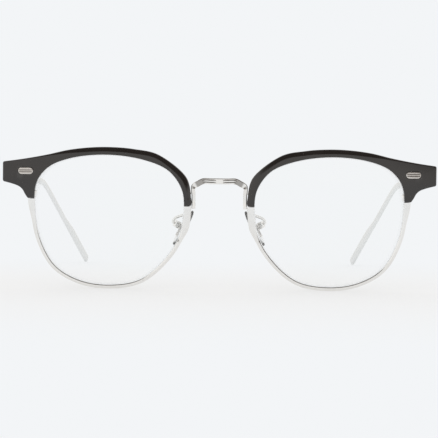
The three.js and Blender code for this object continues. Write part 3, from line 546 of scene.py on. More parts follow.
def dust_group():
    """Small specks of dust, thinly spread."""
    tree, given, out = new_group(
        "dust specks",
        [("Vector", VECTOR, (0, 0, 0)), ("Scale", VALUE, 900.0), ("Amount", VALUE, 0.5)],
        [("Mask", VALUE)],
    )
    cells = add(tree, "ShaderNodeTexVoronoi", Vector=given["Vector"], Scale=given["Scale"])
    near = ramp(tree, cells.outputs["Distance"], 0.16, 0.04)
    patch = noise(tree, given["Vector"], 260.0, 2.0)
    thin = ramp(tree, patch, 0.52, 0.7, given["Amount"])
    tree.links.new(math_node(tree, "MULTIPLY", near, thin), out["Mask"])
    return tree


scratches, rubbed, dust = scratch_group(), wear_group(), dust_group()


def use_group(tree, group, **values):
    node = tree.nodes.new("ShaderNodeGroup")
    node.node_tree = group
    for label, value in values.items():
        feed(tree, node.inputs[label], value)
    return node.outputs


def new_material(name, **plain):
    """Material with plain shader values set on its shader, and its tree, shader and position."""
    material = bpy.data.materials.new(name)
    material.use_nodes = True
    tree = material.node_tree
    shader = tree.nodes["Principled BSDF"]
    for label, value in plain.items():
        shader.inputs[label.replace("_", " ")].default_value = value
    place = tree.nodes.new("ShaderNodeTexCoord").outputs["Object"]
    return material, tree, shader, place


def painted(tree, shade):
    """A value that the piece carries at each corner: how sharp its edges are, or how much painted shade it
    takes.
    """
    return add(tree, "ShaderNodeAttribute", {"attribute_name": shade}).outputs["Fac"]


def blend_colour(tree, factor, first, second):
    node = add(tree, "ShaderNodeMix", {"data_type": "RGBA"})
    for index, value in ((0, factor), (6, first), (7, second)):
        feed(tree, node.inputs[index], value)
    return node.outputs[2]


def bump(tree, shader, height, strength, distance):
    node = add(tree, "ShaderNodeBump", Strength=strength, Distance=distance, Height=height)
    tree.links.new(node.outputs["Normal"], shader.inputs["Normal"])


def remap(tree, value, low, high):
    return add(tree, "ShaderNodeMapRange", Value=value, To_Min=low, To_Max=high).outputs["Result"]


def black_acetate():
    """Polished black acetate: faint polishing swirls, softly rubbed edges and a little dust."""
    material, tree, shader, place = new_material(
        "polished black acetate", IOR=1.5, Coat_Weight=0.25, Coat_Roughness=0.05, Coat_IOR=1.5,
    )
    hair = use_group(tree, scratches, Vector=place, Stretch=(1.0, 1.0, 6.0), Scale=700.0, Cover=0.58)
    worn = use_group(tree, rubbed, Edge=painted(tree, "edge"), Vector=place, Amount=0.5)
    specks = use_group(tree, dust, Vector=place, Scale=800.0, Amount=0.35)
    deep = blend_colour(
        tree, hair["Cloud"], (0.012, 0.0095, 0.008, 1), (0.021, 0.0175, 0.0155, 1),
    )
    edged = blend_colour(tree, worn["Mask"], deep, (0.05, 0.046, 0.043, 1))
    dusted = blend_colour(tree, specks["Mask"], edged, (0.3, 0.29, 0.28, 1))
    tree.links.new(dusted, shader.inputs["Base Color"])
    rough = remap(tree, hair["Cloud"], 0.07, 0.13)
    marked = math_node(tree, "MULTIPLY_ADD", hair["Marks"], 0.12, rough)
    rubbed_dull = math_node(tree, "MULTIPLY_ADD", worn["Mask"], 0.25, marked)
    tree.links.new(rubbed_dull, shader.inputs["Roughness"])
    bump(tree, shader, hair["Height"], 0.04, 0.00004)
    return material


def silver(name, bright, shaded, low, high, stretch, scale, strength):
    """Silver-plated metal: hairlines along the piece, brighter rubbed edges, and a dark painted shade where
    the piece is marked for it.
    """
    material, tree, shader, place = new_material(name, Metallic=1.0)
    hair = use_group(tree, scratches, Vector=place, Stretch=stretch, Scale=scale, Cover=0.5)
    worn = use_group(tree, rubbed, Edge=painted(tree, "edge"), Vector=place, Amount=0.8)
    toned = blend_colour(tree, hair["Cloud"], (*shaded, 1), (*bright, 1))
    lined = blend_colour(tree, math_node(tree, "MULTIPLY", hair["Marks"], 0.22), toned,
                         (*[c * 0.8 for c in bright], 1))
    edged = blend_colour(tree, worn["Mask"], lined, (0.93, 0.92, 0.9, 1))
    # Painted shade: a dark warm tone over the colour where the piece's hollow mark is set.
    with_painted_shade = blend_colour(tree, painted(tree, "hollow"), edged, (0.1, 0.08, 0.065, 1))
    tree.links.new(with_painted_shade, shader.inputs["Base Color"])
    rough = remap(tree, hair["Height"], low, high)
    tree.links.new(rough, shader.inputs["Roughness"])
    bump(tree, shader, hair["Height"], strength, 0.00003)
    return material


def clear_lens():
    """Clear coated resin: a faint coating tint, and the odd smear and speck."""
    material, tree, shader, place = new_material(
        "coated clear lens", IOR=1.5, Metallic=0.0, Transmission_Weight=1.0, Specular_IOR_Level=0.22,
    )
    smear = noise(tree, place, 55.0, 3.0)
    tint = blend_colour(tree, smear, (0.985, 0.997, 0.985, 1), (0.997, 0.99, 0.997, 1))
    specks = use_group(tree, dust, Vector=place, Scale=620.0, Amount=0.5)
    tree.links.new(blend_colour(tree, specks["Mask"], tint, (0.93, 0.93, 0.92, 1)),
                   shader.inputs["Base Color"])
    speckled = math_node(tree, "MULTIPLY_ADD", specks["Mask"], 0.12, ramp(tree, smear, 0.6, 0.8, 0.012))
    tree.links.new(speckled, shader.inputs["Roughness"])
    see_through_shadow(tree, shader, (0.97, 0.98, 0.975, 1))
    return material


def see_through_shadow(tree, shader, colour):
    """Light passes a clear piece instead of throwing a dark shadow."""
    path = tree.nodes.new("ShaderNodeLightPath")
    clear = add(tree, "ShaderNodeBsdfTransparent", Color=colour)
    both = mix_shaders(tree, path.outputs["Is Shadow Ray"], shader.outputs[0], clear.outputs[0])
    tree.links.new(both, tree.nodes["Material Output"].inputs["Surface"])


def clear_silicone():
    """Soft clear silicone: slightly cloudy inside, with a painted shade round its border and a fine grain."""
    material, tree, shader, place = new_material(
        "clear silicone", IOR=1.41, Metallic=0.0, Transmission_Weight=1.0,
    )
    cloud = noise(tree, place, 330.0, 4.0)
    tone = blend_colour(tree, cloud, (0.78, 0.78, 0.77, 1), (0.9, 0.9, 0.89, 1))
    specks = use_group(tree, dust, Vector=place, Scale=1500.0, Amount=0.5)
    dusty = blend_colour(tree, specks["Mask"], tone, (0.8, 0.79, 0.76, 1))
    # Painted shade: a darker grey round the pad's border.
    border_painted_shade = blend_colour(tree, painted(tree, "hollow"), dusty, (0.3, 0.3, 0.29, 1))
    tree.links.new(border_painted_shade, shader.inputs["Base Color"])
    tree.links.new(remap(tree, cloud, 0.03, 0.16), shader.inputs["Roughness"])
    bump(tree, shader, cloud, 0.12, 0.00008)
    see_through_shadow(tree, shader, (0.9, 0.9, 0.89, 1))
    return material


acetate = black_acetate()
rim_silver = silver(
    "polished silver", (0.9, 0.89, 0.87), (0.8, 0.79, 0.765),
    low=0.1, high=0.24, stretch=(1.0, 1.0, 1.0), scale=900.0, strength=0.05,
)
bridge_silver = silver(
    "polished bridge silver", (0.9, 0.885, 0.86), (0.78, 0.765, 0.735),
    low=0.08, high=0.22, stretch=(0.25, 2.0, 2.0), scale=1300.0, strength=0.06,
)
temple_silver = silver(
    "satin temple silver", (0.815, 0.82, 0.81), (0.77, 0.775, 0.765),
    low=0.3, high=0.4, stretch=(3.0, 0.12, 2.0), scale=1500.0, strength=0.05,
)
plaque_silver = silver(
    "satin plaque silver", (0.7, 0.66, 0.62), (0.54, 0.505, 0.465),
    low=0.22, high=0.42, stretch=(0.15, 1.0, 3.0), scale=1800.0, strength=0.15,
)
screw_steel = silver(
    "turned screw steel", (0.72, 0.71, 0.69), (0.58, 0.57, 0.55),
    low=0.2, high=0.38, stretch=(1.0, 1.0, 1.0), scale=2600.0, strength=0.1,
)
lens_clear = clear_lens()
silicone = clear_silicone()


# ---- pieces ----
def mark_edges(bm):
    """Writes how sharp the shape is at each corner, for the rubbed edges."""
    mark = bm.verts.layers.float.new("edge")
    for vert in bm.verts:
        turns = [e.calc_face_angle() for e in vert.link_edges if e.is_manifold]
        vert[mark] = min(max(turns, default=0) / math.radians(45), 1)


def both_sides(node, name, build, material, body="front", smooth=38):
    """Left piece as built and right piece mirrored, each in place of its CAD node."""
    for side in ("left", "right"):
        bm = build()
        mark_edges(bm)
        if side == "right":
            bmesh.ops.scale(bm, vec=(-1, 1, 1), verts=bm.verts)
            bmesh.ops.recalc_face_normals(bm, faces=bm.faces)
        riding = body if body == "front" else f"{side}_{body}"
        finish_piece(f"{side}_{name}", bm, material, riding, f"{side}_{node}", smooth)


def finish_piece(name, bm, material, body, node, smooth=38):
    move(bm, TO_FRAME)
    mesh = new_mesh(name, bm)
    mesh.shade_smooth()
    mesh.set_sharp_from_angle(angle=math.radians(smooth))
    mesh.materials.append(material)
    piece = new_object(name, mesh)
    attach(piece, body)
    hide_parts(node)


# ---- brow ----
def brow_outer_line():
    """Outer edge of the brow, each point with its share of the inner edge that it faces."""
    def outer(part, wall):
        return beside_eye(mix(brow_nose_share, brow_leg_share, part), wall)

    corner = [Vector((corner_x, hinge_z + ENDPIECE_ABOVE)), Vector((corner_x, hinge_z - ENDPIECE_BELOW))]
    over = [
        (0, BROW_NOSE_WALL), (0.035, BROW_LOW_WALL), (0.13, BROW_SIDE_WALL), (0.27, BROW_SIDE_WALL),
        (0.39, BROW_CREST_WALL), (0.5, BROW_TOP_WALL), (0.6, BROW_TOP_WALL), (0.7, BROW_SHOULDER_WALL),
    ]
    shoulder = [(-4.9, 5.55, 0.76), (0, 4.6, 0.82), (5.2, 3.75, 0.87)]
    top = [(part, outer(part, wall)) for part, wall in over]
    top += [(part, Vector((opening_outer + x, hinge_z + z))) for x, z, part in shoulder]
    top.append((0.905, corner[0]))
    hollow = [(-3.3, 4.7, 0.953), (-5.5, 3.9, 0.967), (-6.8, 2.8, 0.978), (-7.6, 1.4, 0.989)]
    low = [(0.935, corner[1])]
    low += [(part, Vector((corner_x + x, hinge_z - BROW_LEG_DROP + z))) for x, z, part in hollow]
    low.append((1.0, beside_eye(brow_leg_share, BROW_LEG_WIDTH)))
    top, low = fine_line(top, 12), fine_line(low, 7)
    length = (brow_leg_share - brow_nose_share) * eye.length
    nose = []
    for reach in (0, 0.05, 0.13, 0.25, 0.4, 0.6):
        part = abs(reach / length)
        wall = BROW_NOSE_WALL + 5 * part - edge_fall(reach, NOSE_CORNER_ROUND)
        nose.append((part, outer(part, wall)))
    top = nose + [(part, point) for part, point in top if part > nose[-1][0] + 0.002]
    rounded = round_corner(top[-2], top[-1], low[0]) + round_corner(top[-1], low[0], low[1])
    return top[:-2] + rounded + low[2:]


def fine_line(knots, steps):
    """Smooth line through knots, with each point's share carried along."""
    parts, points = zip(*knots)
    line = spline(list(points), steps=steps, power=0)
    shares = [mix(a, b, k / steps) for a, b in zip(parts, parts[1:]) for k in range(steps)]
    return list(zip([*shares, parts[-1]], line))


def round_corner(before, corner, after, steps=6):
    """Arc in place of a corner."""
    part, point = corner
    start, end = (point + (other - point).normalized() * CORNER_RADIUS for _, other in (before, after))
    turn = []
    for k in range(steps + 1):
        t = k / steps
        at = start * (1 - t) ** 2 + point * 2 * t * (1 - t) + end * t**2
        turn.append((part + (t - 0.5) * 0.008, at))
    return turn


def edge_fall(distance, radius):
    """How far a rounded edge has fallen back at a distance in from it."""
    if distance >= radius:
        return 0
    return radius - math.sqrt(radius**2 - (radius - max(distance, 0)) ** 2)


def brow_ring(part, outer):
    share = mix(brow_nose_share, brow_leg_share, part)
    inner, wall = eye.at(share), beside_eye(share, RIM_UNDER_BROW + SEAT_GAP)
    width = (outer - inner).length
    toward = (inner - outer).normalized()
    crown = mix(CROWN_ON_BAND, CROWN_AT_CORNER, smooth_step(outer.x, opening_outer - 18, opening_outer + 2))
    crown = mix(CROWN_AT_NOSE, crown, smooth_step(part, 0.1, 0.32))
    near_outer = [0, 0.03, 0.09, 0.17, 0.26, 0.42, 0.62, 0.85, 1.1, 1.4]
    near_inner = [0, 0.02, 0.07, 0.13, 0.2, 0.36]
    gap = width - near_outer[-1] - near_inner[-1]
    offsets = near_outer + [near_outer[-1] + gap * k / 6 for k in range(1, 6)]
    offsets += [width - offset for offset in reversed(near_inner)]

    def face_depth(offset):
        over = max(crown - offset, 0) ** 2 * CROWN_SLOPE / (2 * crown)
        rounding = edge_fall(offset, OUTER_EDGE_ROUND) + edge_fall(width - offset, INNER_EDGE_ROUND)
        return over + rounding - BROW_FRONT

    face = [on_front(outer + toward * offset, face_depth(offset)) for offset in reversed(offsets)]
    back = RIM_DEPTH
    side = [on_front(outer, depth) for depth in (-0.2, 0.9, back - 0.3)]
    eased = [on_front(outer + toward * 0.09, back - 0.09), on_front(outer + toward * 0.3, back)]
    floor = [on_front(outer.lerp(wall, k / 4), back) for k in (1, 2, 3)]
    step = [on_front(wall, depth) for depth in (back, 1.0, -SEAT_GAP)]
    return face + side + eased + floor + step + [on_front(inner, -SEAT_GAP)]


def plaque_rings(grow, depths):
    """Oval with half-round ends at several depths, each as (extra inset, depth)."""
    centre = Vector((opening_outer + PLAQUE_FROM_OPENING, hinge_z))
    straight = Vector(((PLAQUE_LENGTH - PLAQUE_HEIGHT) / 2, 0))
    rings = []
    for inset, depth in depths:
        radius = PLAQUE_HEIGHT / 2 + grow - inset
        oval = []
        for side in (1, -1):
            for k in range(17):
                angle = math.radians(180 * k / 16 - 90) + (0 if side > 0 else math.pi)
                oval.append(centre + straight * side + Vector((math.cos(angle), math.sin(angle))) * radius)
        rings.append([on_front(p, depth) for p in oval])
    return rings


pocket_floor = PLAQUE_THICKNESS - BROW_FRONT


def make_brow():
    rings = eased_ends([brow_ring(part, outer) for part, outer in brow_outer_line()], 0.14)
    pocket = loft(plaque_rings(PLAQUE_GAP, [(0, -BROW_FRONT - 1), (0, pocket_floor)]))
    return combine(loft(rings), "DIFFERENCE", pocket)


def make_plaque():
    """Oval inlay with a rounded edge and two fine grooves along it."""
    fall = PLAQUE_EDGE_ROUND
    crest = -BROW_FRONT - PLAQUE_DOME
    edge = [(0, pocket_floor - PLAQUE_GAP), (0, fall + crest)]
    edge += [(fall * inward, fall * down + crest) for inward, down in quarter_turn(4, 1)]
    bm = loft(plaque_rings(0, edge))
    centre_x = opening_outer + PLAQUE_FROM_OPENING
    reach = PLAQUE_LENGTH / 2 - PLAQUE_GROOVE_INSET
    cuts = [((0, 0, hinge_z + k * 0.06), (0, 0, 1)) for k in range(-10, 11)]
    ends = (-reach - 0.12, -reach, -reach / 2, 0, reach / 2, reach, reach + 0.12)
    cuts += [((centre_x + end, 0, 0), (1, 0, 0)) for end in ends]
    for place, facing in cuts:
        bmesh.ops.bisect_plane(
            bm, geom=bm.verts[:] + bm.edges[:] + bm.faces[:], dist=1e-5, plane_co=place, plane_no=facing,
        )
    # Painted shade: full on the sides and back that sit down in the brow's pocket, half in the middle of the
    # two grooves.
    shade = bm.verts.layers.float.new("hollow")
    for vert in bm.verts:
        depth = vert.co.y - front_depth(vert.co.x, vert.co.z)
        if depth > -BROW_FRONT + 0.1:
            vert[shade] = 1
        if depth > -BROW_FRONT or abs(vert.co.x - centre_x) > reach + 0.01:
            continue
        for groove in PLAQUE_GROOVES:
            sunk = max(0, 1 - abs(vert.co.z - hinge_z - groove) / PLAQUE_GROOVE_HALF)
            vert.co.y += PLAQUE_GROOVE_DEPTH * sunk
            vert[shade] = max(vert[shade], 0.5 * sunk)
    return bm


# ---- rim and lens ----
def rim_shares():
    """Even steps round the eye, with a close pair at each sharp change of the rim."""
    steps = 220
    sharp = [brow_nose_share - step_share, brow_leg_share + step_share, nose_strip_share]
    kept = [k / steps for k in range(steps) if all(abs(k / steps - s) > 0.3 / steps for s in sharp)]
    pairs = [s + side * step_share / 2 for s in sharp for side in (-1, 1)]
    return sorted(kept + pairs)


def rim_width(share):
    if brow_nose_share - step_share < share < brow_leg_share + step_share:
        return RIM_UNDER_BROW
    if nose_strip_share < share < 0.5:
        along = (share - nose_strip_share) * eye.length
        return mix(RIM_WIDTH + 0.12, RIM_AT_NOSE, smooth_step(along, 0.3, 5))
    below = (share - brow_leg_share) * eye.length
    taper = smooth_step(below, 0, RIM_TEMPLE_TAPER) if share > 0.5 else 1
    return mix(RIM_AT_TEMPLE_LEG, RIM_WIDTH, taper)


def eased_inward(out, depth, front):
    """Widens the rounding where the front turns in towards the lens."""
    if depth < front + RIM_ROUND + 0.01 and out < RIM_ROUND + 0.01:
        return out * RIM_INNER_EASE, front + (depth - front) * RIM_INNER_EASE
    return out, depth


def rim_section(share):
    """(outward, depth) points of the eyewire: a rounded bar with the lens groove inside."""
    width = rim_width(share)
    covered = width == RIM_UNDER_BROW
    front, back, radius = (0 if covered else -RIM_PROUD), RIM_DEPTH, (0.15 if covered else RIM_ROUND)
    bar = rounded_rectangle(width, back - front, radius)
    outline = [(p.x + width / 2, (back + front) / 2 - p.y) for p in reversed(bar)]
    if not covered:
        outline = [eased_inward(out, depth, front) for out, depth in outline]
    middle = RIM_DEPTH / 2
    groove = [(0, middle - GROOVE_HALF), (GROOVE_DEPTH, middle - 0.12), (GROOVE_DEPTH, middle + 0.12),
              (0, middle + GROOVE_HALF)]
    start = next(i for i, (out, _) in enumerate(outline) if abs(out) < 1e-6)
    turned = outline[start:] + outline[:start]
    return turned, groove


def rim_ring(share):
    turned, groove = rim_section(share)
    inside = [p for p in turned if abs(p[0]) < 1e-6]
    rest = [p for p in turned if abs(p[0]) >= 1e-6]
    first, last = inside[0], inside[-1]
    if first[1] > last[1]:
        groove = groove[::-1]
    return [eye_point(share, out, depth) for out, depth in [first, *groove, last, *rest]]


block_share = share_at_height(hinge_z - LUG_HEIGHT / 2 - 2.6, False)
tab_share = share_at_height(eye_centre.y + BROW_NOSE_END_RISE + 4.2, True)
leg_tongue_share = share_at_height(hinge_z - BROW_LEG_DROP + 1.5, False)
TAB_THICKNESS = 0.65
BLOCK_HALF = 1.8
BLOCK_WIDTH = 2.5
BLOCK_DEPTH = 2.1
SPLIT_GAP = 0.25


def make_rim():
    ring = loft([rim_ring(share) for share in rim_shares()], closed=True)
    clear = CURVED_GAP * 1.6

    def on_rim(share, back, low, high, ease=0.0):
        return block(eye_point(share, 0, back), eye_axes(share), low, high, ease)

    closing = on_rim(
        block_share, RIM_DEPTH, (0.1, -0.2, -BLOCK_HALF), (RIM_UNDER_BROW - 0.1, 0.6, BLOCK_HALF),
    )
    barrel = on_rim(
        block_share, RIM_DEPTH, (0.12, clear, -BLOCK_HALF), (BLOCK_WIDTH, BLOCK_DEPTH, BLOCK_HALF), 0.35,
    )
    tab = on_rim(tab_share, RIM_DEPTH, (0.12, clear, -0.95), (2.6, clear + TAB_THICKNESS, 0.95), 0.15)
    riser = on_rim(tab_share, RIM_DEPTH, (0.12, -0.2, -0.9), (RIM_UNDER_BROW - 0.15, clear + 0.1, 0.9))
    far = (BLOCK_WIDTH + 3, RIM_DEPTH + BLOCK_DEPTH + 3, SPLIT_GAP / 2)
    split = on_rim(block_share, 0, (-3, -3, -SPLIT_GAP / 2), far)
    tongue = on_rim(leg_tongue_share, 0, (-0.55, -0.25, -1.15), (0.4, 0.2, 1.15), 0.12)
    whole = combine(ring, "UNION", closing, barrel, riser, tab, tongue)
    whole = combine(whole, "DIFFERENCE", split)
    # Painted shade on a small spot at the step where the nose strip begins.
    shade = whole.verts.layers.float.new("hollow")
    seam = eye_point(nose_strip_share, 0.1, 0)
    for vert in whole.verts:
        vert[shade] = 1 - smooth_step((vert.co - seam).length, 0.25, 0.7)
    return whole


def make_lens():
    """Domed disc whose bevelled edge sits in the rim's groove."""
    shares = [k / 200 for k in range(200)]
    scales = [0.02, 0.1, 0.2, 0.32, 0.44, 0.56, 0.68, 0.8, 0.9, 0.96]

    def surface(scale, side):
        points = (eye_centre + (eye.at(share) - eye_centre) * scale for share in shares)
        return [on_front(p, RIM_DEPTH / 2 + side * LENS_HALF) for p in points]

    def edge(outward, depth):
        return [eye_point(share, outward, RIM_DEPTH / 2 + depth) for share in shares]

    front = [surface(scale, -1) for scale in scales] + [edge(-0.2, -LENS_HALF), edge(-0.12, -0.44)]
    bite = [edge(LENS_BITE, -0.06), edge(LENS_BITE, 0.06)]
    back = [edge(-0.12, 0.44), edge(-0.2, LENS_HALF)] + [surface(scale, 1) for scale in reversed(scales)]
    return loft(front + bite + back)


# ---- temple ----
def temple_stations():
    """Middle, direction and (height above, height below) along the temple."""
    run = Vector((0, math.cos(TEMPLE_DROOP), -math.sin(TEMPLE_DROOP)))
    level = math.cos(DROP_ANGLE)
    drop = Vector((-math.sin(DROP_INWARD) * level, math.cos(DROP_INWARD) * level, -math.sin(DROP_ANGLE)))
    pivot = Vector((temple_x, pivot_y, hinge_z))
    bend = pivot + run * TEMPLE_TO_BEND
    neck = TEMPLE_NECK_HEIGHT / 2
    drop_length = (bend.z - neck * level) / math.sin(DROP_ANGLE)
    front = lug_back + SEAT_GAP * 1.5 - pivot_y
    bar = TEMPLE_HEIGHT / 2
    straight_on = [mix(front, TEMPLE_TO_BEND - BEND_REACH, k / 12) for k in range(12)]
    stations = [(pivot + run * ahead, run, bar, bar) for ahead in straight_on]
    leave, arrive = bend - run * BEND_REACH, bend + drop * BEND_REACH
    for k in range(25):
        t = k / 24
        at = leave * (1 - t) ** 2 + bend * 2 * t * (1 - t) + arrive * t**2
        along = ((bend - leave) * (1 - t) + (arrive - bend) * t).normalized()
        half = mix(TEMPLE_HEIGHT, TEMPLE_NECK_HEIGHT, t) / 2
        stations.append((at, along, half, half))
    wide = PADDLE_HEIGHT - neck
    straight = drop_length - BEND_REACH - PADDLE_LENGTH - PADDLE_FLARE
    from_end = [PADDLE_LENGTH + PADDLE_FLARE + straight * k / 8 for k in range(7, -1, -1)]
    paddle = [(d, neck, neck) for d in from_end]
    for k in range(1, 11):
        flared = mix(neck, wide, smooth_step(k / 10, 0, 1))
        paddle.append((PADDLE_LENGTH + PADDLE_FLARE * (1 - k / 10), flared, neck))
    paddle += [(mix(PADDLE_LENGTH, 1.0, k / 8), wide, neck) for k in range(1, 9)]
    paddle += [(d, wide - fall * 0.95, neck - fall * 0.45) for fall, d in quarter_turn(6, 1)]
    return stations + [(bend + drop * (drop_length - d), drop, above, below) for d, above, below in paddle]


def make_temple():
    rings = []
    for at, along, above, below in temple_stations():
        across = Vector((along.y, -along.x, 0)).normalized()
        upward = across.cross(along)
        middle = (above - below) / 2
        section = rounded_rectangle(TEMPLE_THICKNESS, above + below, 0.3)
        rings.append([at + across * p.x + upward * (p.y + middle) for p in section])
    return loft(eased_ends(rings, 0.12))


# ---- bridge ----
def bridge_half_line():
    bar_z = eye_centre.y + BRIDGE_RISE
    foot_z = eye_centre.y + BROW_NOSE_END_RISE - BRIDGE_FOOT_DROP
    nose_edge = eye_point(brow_nose_share - step_share, RIM_AT_NOSE, 0)
    leg_x = nose_edge.x - BRIDGE_GAP - BRIDGE_LEG_THICKNESS / 2
    leg_y = nose_edge.y + RIM_DEPTH / 2
    bar_y = nose_edge.y + RIM_DEPTH - BRIDGE_FORWARD
    points = [
        (leg_x, leg_y, foot_z),
        (leg_x + 0.02, leg_y - 0.1, (foot_z + bar_z) / 2),
        (leg_x + 0.05, (leg_y + bar_y * 2) / 3, bar_z - 1.9),
        ((leg_x + BRIDGE_FLAT_HALF) / 2, bar_y + 0.1, bar_z - 0.75),
        (BRIDGE_FLAT_HALF, bar_y, bar_z),
        (BRIDGE_FLAT_HALF / 2, bar_y - 0.05, bar_z),
        (0, bar_y - 0.05, bar_z),
    ]
    return spline([Vector(p) for p in points])


GROOVE_LEVELS = (-0.36, 0.36)
ENGRAVED = (0.7, 5.6)
ENGRAVING_DEPTH = 0.17
# Strength of the painted dark reflection on the bridge's shoulders.
SHOULDER_SHADE = 0.62


def bridge_section(width, depth, engraved):
    """Rounded bar whose front face carries two engraved lines."""
    half, front, corner = width / 2, depth / 2, 0.28
    levels = []
    for level in GROOVE_LEVELS:
        for off, cut in ((-0.2, 0), (-0.09, 1), (0.09, 1), (0.2, 0)):
            levels.append((level + off, cut))
    limit = half - corner
    face = [Vector((min(max(level, -limit), limit), cut * engraved - front)) for level, cut in levels]
    bar = rounded_rectangle(width, depth, corner)
    back = [p for p in bar if p.y > 0]
    low = sorted((p for p in bar if p.y < 0), key=lambda p: p.x)
    return [*[p for p in low if p.x < 0], *face, *[p for p in low if p.x > 0], *back]


def make_bridge():
    half = bridge_half_line()
    line = Route(half + [Vector((-p.x, p.y, p.z)) for p in reversed(half[:-1])])
    steps = 240
    rings, shades = [], []
    bar_z = eye_centre.y + BRIDGE_RISE
    for k in range(steps + 1):
        at, along = line.at(k / steps), line.along(k / steps)
        level = abs(along.x) / math.hypot(along.x, along.z)
        width = mix(BRIDGE_LEG_THICKNESS, BRIDGE_HEIGHT, level)
        from_middle = abs(at.x)
        engraved = smooth_step(from_middle, ENGRAVED[0], ENGRAVED[0] + 1.5)
        engraved *= 1 - smooth_step(from_middle, ENGRAVED[1] - 0.5, ENGRAVED[1] + 0.3)
        sideways = Vector((along.z, 0, -along.x)).normalized()
        section = bridge_section(width, BRIDGE_DEPTH, engraved * ENGRAVING_DEPTH)
        rings.append([at - sideways * p.x + Vector((0, p.y, 0)) for p in section])
        # Painted shade in the engraved lines and in a band across each leg below the bar, stronger on its
        # inner side, and a painted dark reflection on the shoulders.
        fall = bar_z - at.z
        shoulder = smooth_step(from_middle, 4.4, 5.6) * (1 - smooth_step(fall, 1.0, 1.35))
        notch = smooth_step(fall, 1.6, 1.9) * (1 - smooth_step(fall, 2.3, 2.7))
        for p, point in zip(section, rings[-1]):
            on_line = abs(abs(p.x) - GROOVE_LEVELS[1]) < 0.12
            in_groove = engraved if p.y > 0.02 - BRIDGE_DEPTH / 2 and on_line else 0
            inner = 0.9 if abs(point.x) < from_middle else 0.5
            shades.append((point, max(0.8 * in_groove, SHOULDER_SHADE * shoulder, notch * inner)))
    bm = loft(eased_ends(rings, 0.15))
    shade = bm.verts.layers.float.new("hollow")
    found = KDTree(len(shades))
    for index, (point, _) in enumerate(shades):
        found.insert(point, index)
    found.balance()
    for vert in bm.verts:
        vert[shade] = shades[found.find(vert.co)[1]][1]
    return bm


# ---- nose pads ----
rim_back_at_pad = front_depth(EYE_GAP / 2, eye_centre.y - PAD_DROP) + RIM_DEPTH
pad_centre = Vector((EYE_GAP / 2 + PAD_OUT, rim_back_at_pad + PAD_BACK, eye_centre.y - PAD_DROP))
pad_up = Vector((-math.sin(PAD_LEAN), 0, math.cos(PAD_LEAN)))
pad_away = Vector((math.cos(PAD_LEAN), 0, math.sin(PAD_LEAN)))
pad_across = Vector((0, math.cos(PAD_SPLAY), 0)) + pad_away * math.sin(PAD_SPLAY)
pad_behind = pad_up.cross(pad_across)
pad_behind *= math.copysign(1, pad_behind.dot(pad_away))
pad_axes = (pad_up, pad_across, pad_behind)
slot_half = STEM_WIDTH / 2 + BOX_SIDE_GAP
box_half = slot_half + BOX_WALL
box_floor = PIVOT_BEHIND_PAD + STEM_RADIUS + BOX_FLOOR_GAP


def pad_point(up, across, behind):
    return pad_centre + pad_up * up + pad_across * across + pad_behind * behind


def make_nose_pad():
    """Soft oval pad: full at its rim, gently crowned on the face that meets the nose."""
    bm = bmesh.new()
    bmesh.ops.create_uvsphere(bm, u_segments=72, v_segments=36, radius=1)
    # Painted shade on the band round the pad's border.
    shade = bm.verts.layers.float.new("hollow")
    for vert in bm.verts:
        x, y, z = vert.co
        vert.co.z = math.copysign(abs(z) ** 0.8, z)
        vert.co.x = x * (1 - 0.05 * y * y)
        vert[shade] = smooth_step(math.hypot(vert.co.x, y), 0.86, 0.99)
    bmesh.ops.scale(bm, vec=(PAD_LENGTH / 2, PAD_WIDTH / 2, PAD_THICKNESS / 2), verts=bm.verts)
    move(bm, frame_of(pad_centre, pad_axes))
    bmesh.ops.recalc_face_normals(bm, faces=bm.faces)
    return bm


def make_pad_arm():
    """Bent wire from the rim's back to the back of the pad's box."""
    share = brow_nose_share - 1.4 / eye.length
    foot = eye_point(share, 1.05, RIM_DEPTH + SEAT_GAP)
    end = pad_point(0, 0, box_floor + BOX_WALL + SEAT_GAP)
    reach = end - foot
    line = Route(spline([
        foot,
        foot + Vector((0.1, 1.3, -0.1)),
        foot + Vector((reach.x * 0.22, reach.y * 0.75, reach.z * 0.3)),
        end + pad_behind * 0.75 + pad_up * 1.3,
        end + pad_behind * 0.6,
        end,
    ]))
    side = Vector((1, 0, 0))
    rings = []
    steps = 70
    for k in range(steps + 1):
        along = line.along(k / steps)
        side = (side - along * side.dot(along)).normalized()
        other = along.cross(side)
        around = [side * math.cos(math.tau * i / 20) + other * math.sin(math.tau * i / 20) for i in range(20)]
        rings.append([line.at(k / steps) + out * PAD_WIRE_RADIUS for out in around])
    return loft(eased_ends(rings, 0.08))


# ---- screws ----
tab_screw_out = 1.9
leg_screw_x = opening_outer + 0.6


def make_leg_screw():
    seat_depth = RIM_DEPTH + CURVED_GAP + LUG_THICKNESS - 0.45 + SEAT_GAP
    seat = Vector((leg_screw_x, front_depth(leg_screw_x, hinge_z) + seat_depth, hinge_z))
    length = seat_depth + 0.35
    return screw(seat, Vector((0, 1, 0)), length, SCREW_RADIUS, SCREW_HEAD_RADIUS, SCREW_HEAD_HEIGHT)


def make_nose_screw():
    seat_depth = RIM_DEPTH + CURVED_GAP * 2 + TAB_THICKNESS
    seat = eye_point(tab_share, tab_screw_out, 0)
    seat.y += seat_depth
    length = seat_depth - 0.3
    return screw(seat, Vector((0, 1, 0)), length, NOSE_SCREW_RADIUS, NOSE_SCREW_HEAD, SMALL_HEAD_HEIGHT)


def make_lock_screw():
    onward = eye_axes(block_share)[2]
    seat = eye_point(block_share, BLOCK_WIDTH / 2, RIM_DEPTH + CURVED_GAP + BLOCK_DEPTH / 2)
    seat += onward * (BLOCK_HALF + SEAT_GAP)
    return screw(seat, onward, BLOCK_HALF * 2 - 0.2, SCREW_RADIUS, SCREW_HEAD_RADIUS, SCREW_HEAD_HEIGHT)


